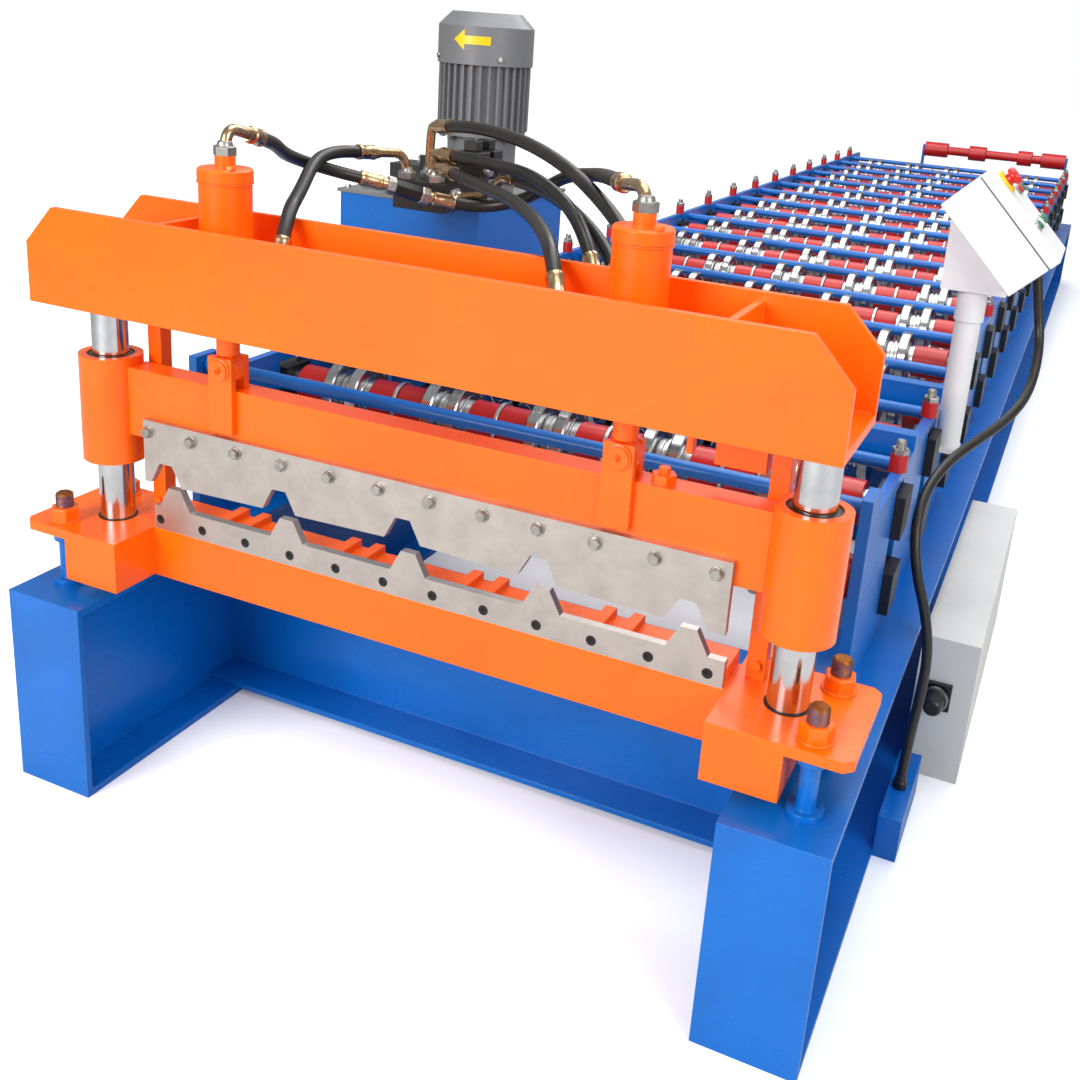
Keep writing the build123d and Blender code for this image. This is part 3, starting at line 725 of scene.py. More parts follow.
@dataclass
class Studio:
    """The pale floor, the soft lamps and the camera."""

    eye: Point = (951.31, -1463.16, 1485.65)
    yaw: float = 23.12
    pitch: float = -17.69
    roll: float = 4.14
    focal_px: float = 1207.83
    frame_px: float = 1080.0
    centre_px: tuple[float, float] = (566.25, 403.80)
    sensor: float = 36.0
    clip: tuple[float, float] = (0.05, 200.0)
    world_light: float = 0.42
    floor_reach: float = 60000.0
    floor_depth: float = 60.0
    floor_grey: float = 0.62
    floor_shown: tuple[float, float] = (1.2, 2.4)
    lift_metres: tuple[float, float] = (1.8, 6.0)
    lift_squeeze: float = 0.5

    def build(self) -> None:
        """Makes the floor, the lamps, the world and the camera."""
        bpy.context.scene.view_settings.view_transform = "Standard"
        self._floor()
        self._lamps()
        self._world()
        self._camera()

    def _floor(self) -> None:
        """A wide floor that is lifted to white for the camera and keeps the shadow.

        The lift is low round the machine, so that its shadow shows, and rises further out, where
        the lamps no longer reach.
        """
        forms = Forms()
        reach = self.floor_reach
        forms.block((-reach, -reach, -self.floor_depth), (reach, reach, 0))
        for vert in forms.mesh.verts:
            vert.co = row(vert.co)
        data = bpy.data.meshes.new("studio_floor")
        forms.mesh.to_mesh(data)
        forms.mesh.free()
        floor = bpy.data.objects.new("studio_floor", data)
        bpy.context.scene.collection.objects.link(floor)
        material = bpy.data.materials.new("pale_studio_floor")
        material.use_nodes = True
        tree = material.node_tree
        tree.nodes.clear()
        real = add(tree, "BsdfDiffuse", {"Color": (*[self.floor_grey] * 3, 1.0)})
        place = add(tree, "TexCoord").outputs["Object"]
        squeezed = add(tree, "Mapping", {"Scale": (1.0, self.lift_squeeze, 1.0)}, {"Vector": place})
        away = add(tree, "VectorMath", {"operation": "LENGTH"}, {0: squeezed.outputs[0]})
        near, far = ((*[shown] * 3, 1.0) for shown in self.floor_shown)
        start, end = self.lift_metres
        reached = add(
            tree, "MapRange", {"From Min": start, "From Max": end}, {"Value": away.outputs["Value"]}
        )
        lift = add(
            tree, "Mix", {"data_type": "RGBA", 6: near, 7: far}, {0: reached.outputs["Result"]}
        )
        lifted = add(tree, "BsdfDiffuse", {}, {"Color": lift.outputs[2]})
        path = add(tree, "LightPath")
        both = add(
            tree, "MixShader", {},
            {0: path.outputs["Is Camera Ray"], 1: real.outputs[0], 2: lifted.outputs[0]},
        )
        add(tree, "OutputMaterial", {}, {"Surface": both.outputs[0]})
        data.materials.append(material)

    def _lamp(self, name: str, spot: Point, aim: Point, size: float, power: float) -> None:
        """One soft area lamp.

        Args:
            name: The lamp's name.
            spot: Its place in working millimetres.
            aim: The place that it faces.
            size: Its width in metres.
            power: Its power in watts.
        """
        data = bpy.data.lights.new(name, "AREA")
        data.size = size
        data.energy = power
        lamp = bpy.data.objects.new(name, data)
        bpy.context.scene.collection.objects.link(lamp)
        lamp.location = row(spot)
        lamp.rotation_euler = (row(aim) - row(spot)).to_track_quat("-Z", "Y").to_euler()

    def _lamps(self) -> None:
        """A broad key from the front left, a fill from the right and two top lights."""
        middle = (0.0, 600.0, 600.0)
        self._lamp("key_lamp", (-1500, -4200, 2600), middle, 2.6, 240.0)
        self._lamp("fill_lamp", (3600, -1400, 2600), (400, 1500, 500), 2.6, 90.0)
        self._lamp("top_lamp", (300, 1200, 4600), (0, 1400, 0), 3.2, 120.0)
        self._lamp("line_lamp", (0, 5200, 4600), (0, 5200, 0), 4.0, 190.0)

    def _world(self) -> None:
        """A soft room that the camera sees as plain white."""
        world = bpy.data.worlds.new("studio_world")
        bpy.context.scene.world = world
        world.use_nodes = True
        tree = world.node_tree
        tree.nodes.clear()
        path = add(tree, "LightPath")
        dim = add(tree, "Background", {"Color": linear("ffffff"), "Strength": self.world_light})
        plain = add(tree, "Background", {"Color": linear("ffffff"), "Strength": 1.0})
        seen = add(
            tree, "Math", {"operation": "MAXIMUM"},
            {0: path.outputs["Is Camera Ray"], 1: path.outputs["Is Transmission Ray"]},
        )
        shown = add(
            tree, "MixShader", {},
            {0: seen.outputs[0], 1: dim.outputs[0], 2: plain.outputs[0]},
        )
        add(tree, "OutputWorld", {}, {"Surface": shown.outputs[0]})

    def _camera(self) -> None:
        """The camera at the photograph's angle, from the fitted view."""
        yaw, pitch, roll = (math.radians(a) for a in (self.yaw, self.pitch, self.roll))
        ahead = Vector((-math.sin(yaw) * math.cos(pitch), math.cos(yaw) * math.cos(pitch),
                        math.sin(pitch)))
        right = Vector((math.cos(yaw), math.sin(yaw), 0))
        up = right.cross(ahead)
        across = right * math.cos(roll) + up * math.sin(roll)
        upright = up * math.cos(roll) - right * math.sin(roll)
        data = bpy.data.cameras.new("studio_camera")
        data.sensor_width = self.sensor
        data.lens = self.focal_px / self.frame_px * self.sensor
        half = self.frame_px / 2
        data.shift_x = (half - self.centre_px[0]) / self.frame_px
        data.shift_y = (self.centre_px[1] - half) / self.frame_px
        data.clip_start, data.clip_end = self.clip
        camera = bpy.data.objects.new("studio_camera", data)
        bpy.context.scene.collection.objects.link(camera)
        turn = Matrix((across, upright, -ahead)).transposed()
        camera.matrix_world = Matrix.Translation(row(self.eye)) @ turn.to_4x4()
        bpy.context.scene.camera = camera


@dataclass
class Frame:
    """The two long beams, the channels between them and the shear's levelling studs."""

    stud_x: float = 716.0
    stud_ys: tuple[float, float] = (88.0, 244.0)
    ring_top: float = 407.0
    plate_bottom: float = 505.0
    plate_top: float = 523.0
    washer_radius: float = 28.0
    washer_height: float = 4.0
    nut_height: float = 24.0
    nut_flat: float = 46.0
    tip_foot: float = 20.0
    tip_length: float = 35.6
    tip_width: float = 33.0
    shank_width: float = 30.6
    shank_clearance: float = 19.0
    thread_pitch: float = 3.5
    stud_sides: int = 28

    def dress(self, frame: dict) -> None:
        """Gives the frame its finish.
        """
        paint(frame, Finish.BLUE, "left_frame_beam", "right_frame_beam", "frame_cross_members",
              "levelling_studs")

    def build(self) -> None:
        """Makes the nuts with their washers and the threads of the studs."""
        nuts, tips, shanks = Forms(), Forms(), Forms()
        top, r, t = self.plate_top, self.washer_radius, self.washer_height
        washer = [(0, r), (t - 0.8, r), (t, r - 0.8), (t, r / 2)]
        shank_length = self.plate_bottom - self.ring_top - self.shank_clearance
        for side in (-1, 1):
            for i, y in enumerate(self.stud_ys):
                x = side * self.stud_x
                nuts.lathe((x, y, top), UP, washer, 40)
                nuts.hexagon((x, y, top + t), UP, self.nut_height, self.nut_flat, 0.3 + 0.4 * i)
                tips.thread((x, y, top + self.tip_foot), UP, self.tip_length, self.tip_width,
                            self.thread_pitch, self.stud_sides)
                shanks.thread((x, y, self.ring_top), UP, shank_length, self.shank_width,
                              self.thread_pitch, self.stud_sides)
        nuts.piece("stud_nuts_and_washers", Finish.ORANGE, bevel=0.8, replaces=["stud_nuts"])
        tips.piece("stud_tips", Finish.RUST)
        shanks.piece("stud_shanks", Finish.BLUE)


@dataclass
class Shear:
    """The shear's base, columns, crosshead, moving beam and blades."""

    blade_half: float = 556.0
    blade_bolt_margin: float = 17.0
    blade_bolt_z: float = 721.0
    blade_bolt_flat: float = 17.0
    blade_front: float = 128.0
    lower_face: float = 149.0
    lower_hole_margin: float = 19.75
    lower_hole_z: float = 542.5
    lower_hole_depth: float = 5.5
    bolt_count: int = 12
    centre_x: float = -6.0
    column_x: float = 656.0
    column_y: float = 160.0
    column_radius: float = 32.5
    sleeve_ends: tuple[float, float] = (643.0, 845.0)
    seal_radius: float = 41.6
    seal_inset: float = 6.0
    plate_top: float = 523.0
    crosshead_bottom: float = 956.0
    trough: tuple[float, float] = (44.0, 241.0)
    trough_floor: float = 972.0
    crosshead_half: float = 708.0
    cylinder_x: tuple[float, float] = (-383.0, 361.0)
    cylinder_y: float = 155.0
    cap_radius: float = 44.4
    cap_groove_z: float = 1186.0
    cap_top: float = 1211.0
    lock_pin: tuple[float, float] = (30.0, -22.0)
    pin_z: float = 866.0
    pin_front: float = 125.0
    ear_front: float = 131.0
    rib_faces: tuple[float, ...] = (-486.0, -474.0, 514.0, 526.0)
    rib_height: float = 138.0
    foot_seam: tuple[float, float] = (561.0, 151.0)
    foot_seam_z: tuple[float, float] = (427.0, 503.0)
    post_seam_x: tuple[float, float] = (577.0, 607.0)
    post_seam_y: float = 231.0
    sleeve_seam_x: float = 604.0
    sleeve_seam_ys: tuple[float, float] = (148.0, 192.0)
    sleeve_seam_z: tuple[float, float] = (704.0, 826.0)

    def dress(self, frame: dict) -> None:
        """Gives the shear's solids their finishes.
        """
        paint(frame, Finish.ORANGE, "shear_base_beam", "left_base_block", "right_base_block",
              "crosshead_front_plate", "crosshead_rear_plate", "crosshead_floor", "crosshead_ribs",
              "rear_guide_posts", "limit_bracket", "left_cylinder", "right_cylinder",
              "sheet_fingers", "moving_beam", "left_guide_sleeve", "right_guide_sleeve",
              "clevis_ears", "clevis_pins", "left_piston_rod", "right_piston_rod")
        paint(frame, Finish.COLUMN, "left_guide_column", "right_guide_column")
        paint(frame, Finish.BLADE, "lower_blade", "upper_blade")

    def build(self) -> None:
        """Makes the fixings, the seals, the cylinders' caps and the welds."""
        self._blade_fixings()
        self._seals()
        self._cylinder_caps()
        self._welds()

    def _places(self, margin: float) -> list[float]:
        """Even places across a blade.

        Args:
            margin: The distance from the blade's end to the first one.

        Returns:
            The X of each place.
        """
        pitch = 2 * (self.blade_half - margin) / (self.bolt_count - 1)
        return [self.centre_x + pitch * (k - (self.bolt_count - 1) / 2) for k in range(self.bolt_count)]

    def _blade_fixings(self) -> None:
        """Hexagon bolts on the upper blade and sunk screws in the lower one."""
        bolts, screws = Forms(), Forms()
        for k, x in enumerate(self._places(self.blade_bolt_margin)):
            spot = (x, self.blade_front, self.blade_bolt_z)
            bolts.bolt(spot, FRONT, self.blade_bolt_flat, 0.4 * k)
        head = [(0, 5.6), (3.4, 8.4), (4.6, 8.4), (4.6, 4.4), (2.0, 4.2), (2.0, 0.1)]
        for x in self._places(self.lower_hole_margin):
            spot = (x, self.lower_face + self.lower_hole_depth, self.lower_hole_z)
            screws.lathe(spot, FRONT, head, 24)
        bolts.piece("blade_bolts", Finish.ZINC, SLIDE, bevel=0.4)
        screws.piece("lower_blade_screws", Finish.IRON)

    def _seals(self) -> None:
        """The seals in the sleeves and the rings where the columns are seated."""
        seals, rings = Forms(), Forms()
        r, s = self.column_radius, self.seal_radius
        low, high = self.sleeve_ends
        lip = [(0, r + 0.4), (0, s), (3.5, s), (4.2, s - 3.6), (5.5, r + 2.2), (5.5, r + 0.4)]
        seat = [(0, r + 0.2), (0, r + 3.5), (1.2, r + 3.5), (2.0, r + 0.2)]
        for side in (-1, 1):
            x, y = side * self.column_x, self.column_y
            seals.lathe((x, y, high - self.seal_inset), UP, lip, 48)
            seals.lathe((x, y, low + self.seal_inset), DOWN, lip, 48)
            rings.lathe((x, y, self.plate_top), UP, seat, 48)
            rings.lathe((x, y, self.crosshead_bottom), DOWN, seat, 48)
        seals.piece("sleeve_seals", Finish.SEAL, SLIDE)
        rings.piece("column_seats", Finish.IRON)

    def _cylinder_caps(self) -> None:
        """The groove and the lock pin on each cylinder's cap, and the clevis washers."""
        caps, washers = Forms(), Forms()
        y, r = self.cylinder_y, self.cap_radius
        groove = [(0, r), (0, r + 2.2), (2.4, r + 2.2), (2.4, r)]
        ring = [(0, 13), (0, 22), (2.4, 22), (3, 21), (3, 13)]
        nipple = [(0, 5.5), (4, 5.5), (4, 3), (8, 3), (9, 2), (9, 0.1)]
        dx, dy = self.lock_pin
        for x in self.cylinder_x:
            caps.lathe((x, y, self.cap_groove_z), UP, groove, 56)
            caps.hexagon((x + dx, y + dy, self.cap_top), UP, 7, 15, 0.2)
            washers.lathe((x, self.ear_front, self.pin_z), FRONT, ring, 32)
            washers.lathe((x, self.pin_front, self.pin_z), FRONT, nipple, 16)
        caps.piece("cylinder_cap_rings", Finish.ORANGE)
        washers.piece("clevis_washers", Finish.ORANGE, SLIDE)

    def _welds(self) -> None:
        """The beads along the main seams."""
        fixed, moving = Forms(), Forms()
        y0, y1 = self.trough
        z = self.trough_floor
        half = self.crosshead_half - 6
        for x in self.rib_faces:
            fixed.weld((x, y0 + 2, z), (x, y1 - 2, z), 2.6)
            fixed.weld((x, y1, z), (x, y1, z + self.rib_height), 2.6)
        for y in (y0, y1):
            fixed.weld((-half, y, z), (half, y, z), 2.8)
        foot_low, foot_high = self.foot_seam_z
        sleeve_low, sleeve_high = self.sleeve_seam_z
        for side in (-1, 1):
            x, y = side * self.foot_seam[0], self.foot_seam[1]
            fixed.weld((x, y, foot_low), (x, y, foot_high), 2.6)
            near, far = ((side * x, self.post_seam_y, self.plate_top) for x in self.post_seam_x)
            fixed.weld(near, far, 2.4)
            x = side * self.sleeve_seam_x
            for y in self.sleeve_seam_ys:
                moving.weld((x, y, sleeve_low), (x, y, sleeve_high), 2.4)
        fixed.piece("shear_welds", Finish.ORANGE)
        moving.piece("moving_beam_welds", Finish.ORANGE, SLIDE)


@dataclass
class FormingLine:
    """The side walls with their blocks and screws, the rows of rolls and the entry's red bar."""

    station_count: int = 17
    first_station: float = 740.0
    pitch: float = 390.0
    upper_z: float = 645.0
    lower_z: float = 490.0
    upper_radius: float = 75.0
    lower_radius: float = 79.2
    rib_centres: tuple[float, ...] = (-507.0, -257.0, -7.0, 243.0, 493.0)
    shaft_reach: float = 663.0
    shaft_end: float = 23.0
    shaft_radius: float = 30.0
    near_count: int = 4
    middle_count: int = 9
    roll_sides: tuple[int, int, int] = (40, 24, 16)
    roll_width: float = 26.0
    half_gap: float = 30.0
    spacer_gap: float = 14.0
    tube_radius: float = 44.0
    disc_radius: float = 50.0
    disc_width: float = 8.0
    washer_radius: float = 40.0
    wall_x: float = 692.0
    wall_top: float = 723.0
    screw_top: float = 784.0
    collar_height: float = 34.0
    screw_width: float = 19.6
    screw_pitch: float = 2.5
    nut_height: float = 12.0
    nut_flat: float = 30.0
    bar_y: float = 7205.0
    bar_z: float = 806.0
    bar_ends: tuple[float, float] = (-230.0, 670.0)
    bar_radius: float = 28.0
    bar_sleeve_radius: float = 48.0
    # Each sleeve's lower end and its length.
    bar_sleeves: tuple[tuple[float, float], ...] = (
        (-228.0, 150.0), (60.0, 110.0), (372.0, 90.0), (520.0, 150.0),
    )
    plate_feet: tuple[float, float] = (560.0, 663.0)
    plate_half: float = 35.0
    plate_thickness: float = 12.0

    def dress(self, frame: dict) -> None:
        """Gives the forming section its finishes.
        """
        paint(frame, Finish.BLUE, "left_side_wall", "right_side_wall", "tie_bars", "bridge_rails",
              "entry_table")
        paint(frame, Finish.IRON, "bearing_blocks")
        paint(frame, Finish.RED, "screw_collars", "entry_rollers")

    def build(self) -> None:
        """Makes the rows of rolls, the screws and the bar at the entry."""
        upper, lower, tubes = Forms(), Forms(), Forms()
        upper_collars, lower_collars = Forms(), Forms()
        for k in range(self.station_count):
            y = self.first_station + self.pitch * k
            sides = self._sides(k)
            self._row(upper, upper_collars, tubes, y, self.upper_z, self.upper_radius, sides)
            self._row(lower, lower_collars, tubes, y, self.lower_z, self.lower_radius, sides)
        upper.piece("upper_rolls", Finish.ROLL, replaces=["upper_roll_shafts"])
        lower.piece("lower_rolls", Finish.ROLL, replaces=["lower_roll_shafts"])
        upper_collars.piece("upper_roll_collars", Finish.COLLAR)
        lower_collars.piece("lower_roll_collars", Finish.COLLAR)
        tubes.piece("red_spacer_tubes", Finish.RED, replaces=["roll_spacers"])
        self._screws()
        self._entry_bar()

    def _sides(self, station: int) -> int:
        """The number of sides of a station's rolls, which falls along the line.

        Args:
            station: The station's number, with zero behind the shear.

        Returns:
            The number of sides.
        """
        near, middle, far = self.roll_sides
        if station < self.near_count:
            return near
        return middle if station < self.middle_count else far

    def _roll(self, forms: Forms, x: float, y: float, z: float, r: float, sides: int) -> None:
        """One roll with rounded rims and a turned recess in each face.

        Args:
            forms: Where the roll goes.
            x: The roll's lower side.
            y: The shaft's place along the line.
            z: The shaft's height.
            r: The roll's radius.
            sides: The number of sides.
        """
        half = [(0, self.shaft_radius), (0, r - 27), (1.8, r - 25), (1.8, r - 12), (0, r - 10),
                (0, r - 3), (3, r)]
        profile = half + [(self.roll_width - h, q) for h, q in reversed(half)]
        forms.lathe((x, y, z), RIGHT, profile, sides)

    def _collar(self, forms: Forms, x: float, y: float, z: float, width: float, sides: int) -> None:
        """The bright collar between the two rolls of a rib, with its grooves.

        Args:
            forms: Where the collar goes.
            x: The collar's lower side.
            y: The shaft's place along the line.
            z: The shaft's height.
            width: The collar's width.
            sides: The number of sides.
        """
        bore, r = self.shaft_radius, self.tube_radius
        third = width / 3
        profile = [(0, bore), (0, r - 2), (2, r), (third, r), (third + 1.5, r - 3), (third + 5, r - 3),
                   (third + 6.5, r + 3), (2 * third, r + 3), (2 * third + 1.5, r - 1), (width - 2, r),
                   (width, r - 2), (width, bore)]
        forms.lathe((x, y, z), RIGHT, profile, sides)

    def _tube(self, forms: Forms, x0: float, x1: float, y: float, z: float, sides: int) -> None:
        """One painted spacer tube.

        Args:
            forms: Where the tube goes.
            x0: One end.
            x1: The other end.
            y: The shaft's place along the line.
            z: The shaft's height.
            sides: The number of sides.
        """
        bore, r = self.shaft_radius, self.tube_radius
        w = x1 - x0
        profile = [(0, bore), (0, r - 1.5), (1.5, r), (w - 1.5, r), (w, r - 1.5), (w, bore)]
        forms.lathe((x0, y, z), RIGHT, profile, sides)

    def _span(
        self, collars: Forms, tubes: Forms, x0: float, x1: float, y: float, z: float, sides: int
    ) -> None:
        """The tubes between two ribs, with a thin disc between one tube and the next.

        Args:
            collars: Where the discs go.
            tubes: Where the tubes go.
            x0: The lower end.
            x1: The upper end.
            y: The shaft's place along the line.
            z: The shaft's height.
            sides: The number of sides.
        """
        middle = (x0 + x1) / 2
        bore, r, w = self.shaft_radius, self.disc_radius, self.disc_width
        self._tube(tubes, x0, middle - w / 2, y, z, sides)
        self._tube(tubes, middle + w / 2, x1, y, z, sides)
        disc = [(0, bore), (0, r - 1), (1, r), (w - 1, r), (w, r - 1), (w, bore)]
        collars.lathe((middle - w / 2, y, z), RIGHT, disc, sides)

    def _row(
        self, rolls: Forms, collars: Forms, tubes: Forms, y: float, z: float, r: float, sides: int
    ) -> None:
        """A shaft: two rolls and a collar at each rib, and tubes between them.

        Args:
            rolls: Where the rolls and the shaft go.
            collars: Where the collars and discs go.
            tubes: Where the painted tubes go.
            y: The station's place along the line.
            z: The shaft's height.
            r: The rolls' radius.
            sides: The number of sides.
        """
        inside = self.half_gap - self.roll_width / 2
        outside = self.half_gap + self.roll_width / 2
        reach, bore, edge = self.shaft_reach, self.shaft_radius, self.washer_radius
        end = 2 * reach
        shaft = [(0, 22), (0, bore - 1), (1.5, bore), (end - 1.5, bore), (end, bore - 1), (end, 22)]
        rolls.lathe((-reach, y, z), RIGHT, shaft, sides)
        gap = self.spacer_gap
        washer = [(0, bore), (0, edge - 1), (1, edge), (gap - 1, edge), (gap, edge - 1), (gap, bore)]
        start = None
        for x in self.rib_centres:
            self._roll(rolls, x - outside, y, z, r, sides)
            self._roll(rolls, x + inside, y, z, r, sides)
            self._collar(collars, x - inside, y, z, 2 * inside, sides)
            collars.lathe((x - outside - gap, y, z), RIGHT, washer, sides)
            collars.lathe((x + outside, y, z), RIGHT, washer, sides)
            if start is None:
                self._tube(tubes, self.shaft_end - reach, x - outside - gap, y, z, sides)
            else:
                self._span(collars, tubes, start, x - outside - gap, y, z, sides)
            start = x + outside + gap
        self._tube(tubes, start, reach - self.shaft_end, y, z, sides)

    def _screws(self) -> None:
        """The adjusting screws, each with a bright nut above its painted collar."""
        screws, nuts = Forms(), Forms()
        foot = self.wall_top + self.collar_height
        for side in (-1, 1):
            for k in range(self.station_count):
                spot = (side * self.wall_x, self.first_station + self.pitch * k, foot)
                length = self.screw_top - foot
                if k < self.near_count:
                    screws.thread(spot, UP, length, self.screw_width, self.screw_pitch, 16)
                else:
                    r = self.screw_width / 2
                    rod = [(0, r), (length - 2, r), (length, r - 1.8), (length, 0.1)]
                    screws.lathe(spot, UP, rod, 12)
                nuts.hexagon(spot, UP, self.nut_height, self.nut_flat, 0.5 * k)
        screws.piece("threaded_screws", Finish.ZINC, replaces=["adjusting_screws"])
        nuts.piece("bright_screw_nuts", Finish.ZINC, bevel=0.4)

    def _entry_bar(self) -> None:
        """The red bar over the entry table with its sleeves, and the two plates that hold it."""
        bar, plates = Forms(), Forms()
        y, z = self.bar_y, self.bar_z
        x0, x1 = self.bar_ends
        r, s = self.bar_radius, self.bar_sleeve_radius
        bar.lathe((x0, y, z), RIGHT, [(0, r), (x1 - x0, r)], 32)
        for start, length in self.bar_sleeves:
            sleeve = [(0, r), (0, s - 2), (2, s), (length - 2, s), (length, s - 2), (length, r)]
            bar.lathe((start, y, z), RIGHT, sleeve, 32)
        h, w = self.plate_half, self.plate_thickness
        left_foot, right_foot = self.plate_feet
        plates.block((x0 - w, y - h, left_foot), (x0, y + h, z + r))
        plates.block((x1, y - h, right_foot), (x1 + w, y + h, z + r))
        bar.piece("entry_guide_bar", Finish.RED)
        plates.piece("entry_bar_plates", Finish.BLUE, bevel=1.0)


@dataclass
class PumpStation:
    """The oil tank with its motor, the manifold and the valves on it."""

    motor: tuple[float, float] = (-402.0, 1090.0)
    cover_radius: float = 109.0
    cover_screw_z: float = 1386.0
    flange_underside: float = 1212.0
    flange_circle: float = 92.0
    lid_top: float = 1079.0
    lid_screw_xs: tuple[float, ...] = (-638.0, -469.0, -300.0)
    lid_screw_ys: tuple[float, float] = (892.0, 1304.0)
    lid_cover: tuple[float, float] = (-590.0, 960.0)
    lid_cover_radius: float = 46.0
    lid_cover_circle: float = 37.0
    filler: tuple[float, float] = (-590.0, 1230.0)
    manifold_top: float = 1140.0
    manifold: tuple[tuple[Point, Point], ...] = (
        ((-530, 895, 1079), (-410, 985, 1149)),
        ((-418, 732, 1079), (-296, 893, 1140)),
        ((-409, 893, 1079), (-296, 930, 1140)),
    )
    valve_ys: tuple[float, float] = (842.0, 900.0)
    # The far end of each valve's body, where its coil starts, and the coil's end.
    valve_xs: tuple[float, float, float] = (-408.0, -318.0, -258.0)
    socket_xs: tuple[float, float] = (-306.0, -274.0)
    arrow_angle: float = -79.0
    arrow_z: float = 1424.0
    arrow_tip: float = -44.0
    arrow_neck: float = -17.9
    arrow_half: float = 9.0

    def dress(self, frame: dict) -> None:
        """Gives the pump station its finishes.
        """
        paint(frame, Finish.BLUE, "pump_tank")
        paint(frame, Finish.GREY, "tank_lid", "motor_bell", "pump_motor", "motor_fan_cover")

    def build(self) -> None:
        """Makes the arrow, the bolts, the valves and the fittings of the lid."""
        self._arrow()
        self._bolts()
        self._valves()
        self._lid()

    def _arrow(self) -> None:
        """The plain arrow that shows the motor's direction, laid round its cover."""
        forms = Forms()
        head = [(self.arrow_tip + 3.25 * k, 0.4 + 2.7 * k) for k in range(9)]
        half_heights = head + [(self.arrow_neck + 4 * k, self.arrow_half) for k in range(16)]
        rings = []
        for s, h in half_heights:
            angle = math.radians(self.arrow_angle) + s / self.cover_radius
            spoke = Vector((math.cos(angle), math.sin(angle), 0))
            ring = []
            for r, z in ((-0.2, -h), (0.5, -h), (0.5, h), (-0.2, h)):
                flat = spoke * (self.cover_radius + r)
                ring.append(Vector((self.motor[0] + flat.x, self.motor[1] + flat.y, self.arrow_z + z)))
            rings.append(ring)
        forms.skin(rings)
        forms.piece("direction_arrow", Finish.YELLOW)

    def _bolts(self) -> None:
        """The bolts of the motor's flange, the cover's screws and the lid's screws."""
        flange, cover = Forms(), Forms()
        x, y = self.motor
        for k in range(8):
            a = math.radians(22.5 + 45 * k)
            r = self.flange_circle
            spot = (x + r * math.cos(a), y + r * math.sin(a), self.flange_underside)
            flange.hexagon(spot, DOWN, 9, 15, 0.3 * k)
        for k in range(4):
            a = math.radians(45 + 90 * k)
            r = self.cover_radius
            out = (math.cos(a), math.sin(a), 0)
            cover.hexagon((x + r * out[0], y + r * out[1], self.cover_screw_z), out, 5, 11, 0.4)
        for lid_x in self.lid_screw_xs:
            for lid_y in self.lid_screw_ys:
                cover.bolt((lid_x, lid_y, self.lid_top), UP, 12, 0.3)
        flange.piece("motor_flange_bolts", Finish.ZINC, bevel=0.3)
        cover.piece("cover_and_lid_screws", Finish.ZINC, bevel=0.3)

    def _valves(self) -> None:
        """Two solenoid valves across the back of the manifold."""
        bodies, coils, caps = Forms(), Forms(), Forms()
        top = self.manifold_top
        back, joint, front = self.valve_xs
        left, right = self.socket_xs
        for low, high in self.manifold:
            bodies.block(low, high)
        for y in self.valve_ys:
            bodies.block((back, y - 22, top), (joint, y + 22, top + 42))
            coils.block((joint, y - 21, top + 2), (front, y + 21, top + 62))
            coils.block((left, y - 14, top + 62), (right, y + 14, top + 84))
            caps.lathe((front, y, top + 24), RIGHT, [(0, 13), (12, 13), (14, 11), (14, 0.1)], 24)
            caps.lathe((back, y, top + 30), LEFT, [(0, 12), (10, 12), (12, 10), (12, 0.1)], 24)
        bodies.piece("valve_manifold", Finish.IRON, bevel=1.5, replaces=["valve_block"])
        coils.piece("solenoid_coils", Finish.BLACK, bevel=2.5)
        caps.piece("valve_end_nuts", Finish.ZINC)

    def _lid(self) -> None:
        """The round cover on the tank's lid with its screws, and the filler cap."""
        plates, bright = Forms(), Forms()
        x, y = self.lid_cover
        z, r, c = self.lid_top, self.lid_cover_radius, self.lid_cover_circle
        plates.lathe((x, y, z), UP, [(0, r), (5, r), (6, r - 1), (6, 0.1)], 40)
        for k in range(6):
            a = math.radians(60 * k)
            plates.hexagon((x + c * math.cos(a), y + c * math.sin(a), z + 6), UP, 4, 10)
        neck = [(0, 22), (18, 22), (18, 30), (46, 30), (50, 26), (50, 0.1)]
        bright.lathe((*self.filler, z), UP, neck, 32)
        plates.piece("lid_covers", Finish.GREY, bevel=0.4)
        bright.piece("filler_cap", Finish.ZINC)


@dataclass(frozen=True)
class Hose:
    """One hose, with the bend and the port of the pipe at each end that has one."""

    name: str
    route: Route
    start: tuple[Point, Point] | None
    end: tuple[Point, Point] | None


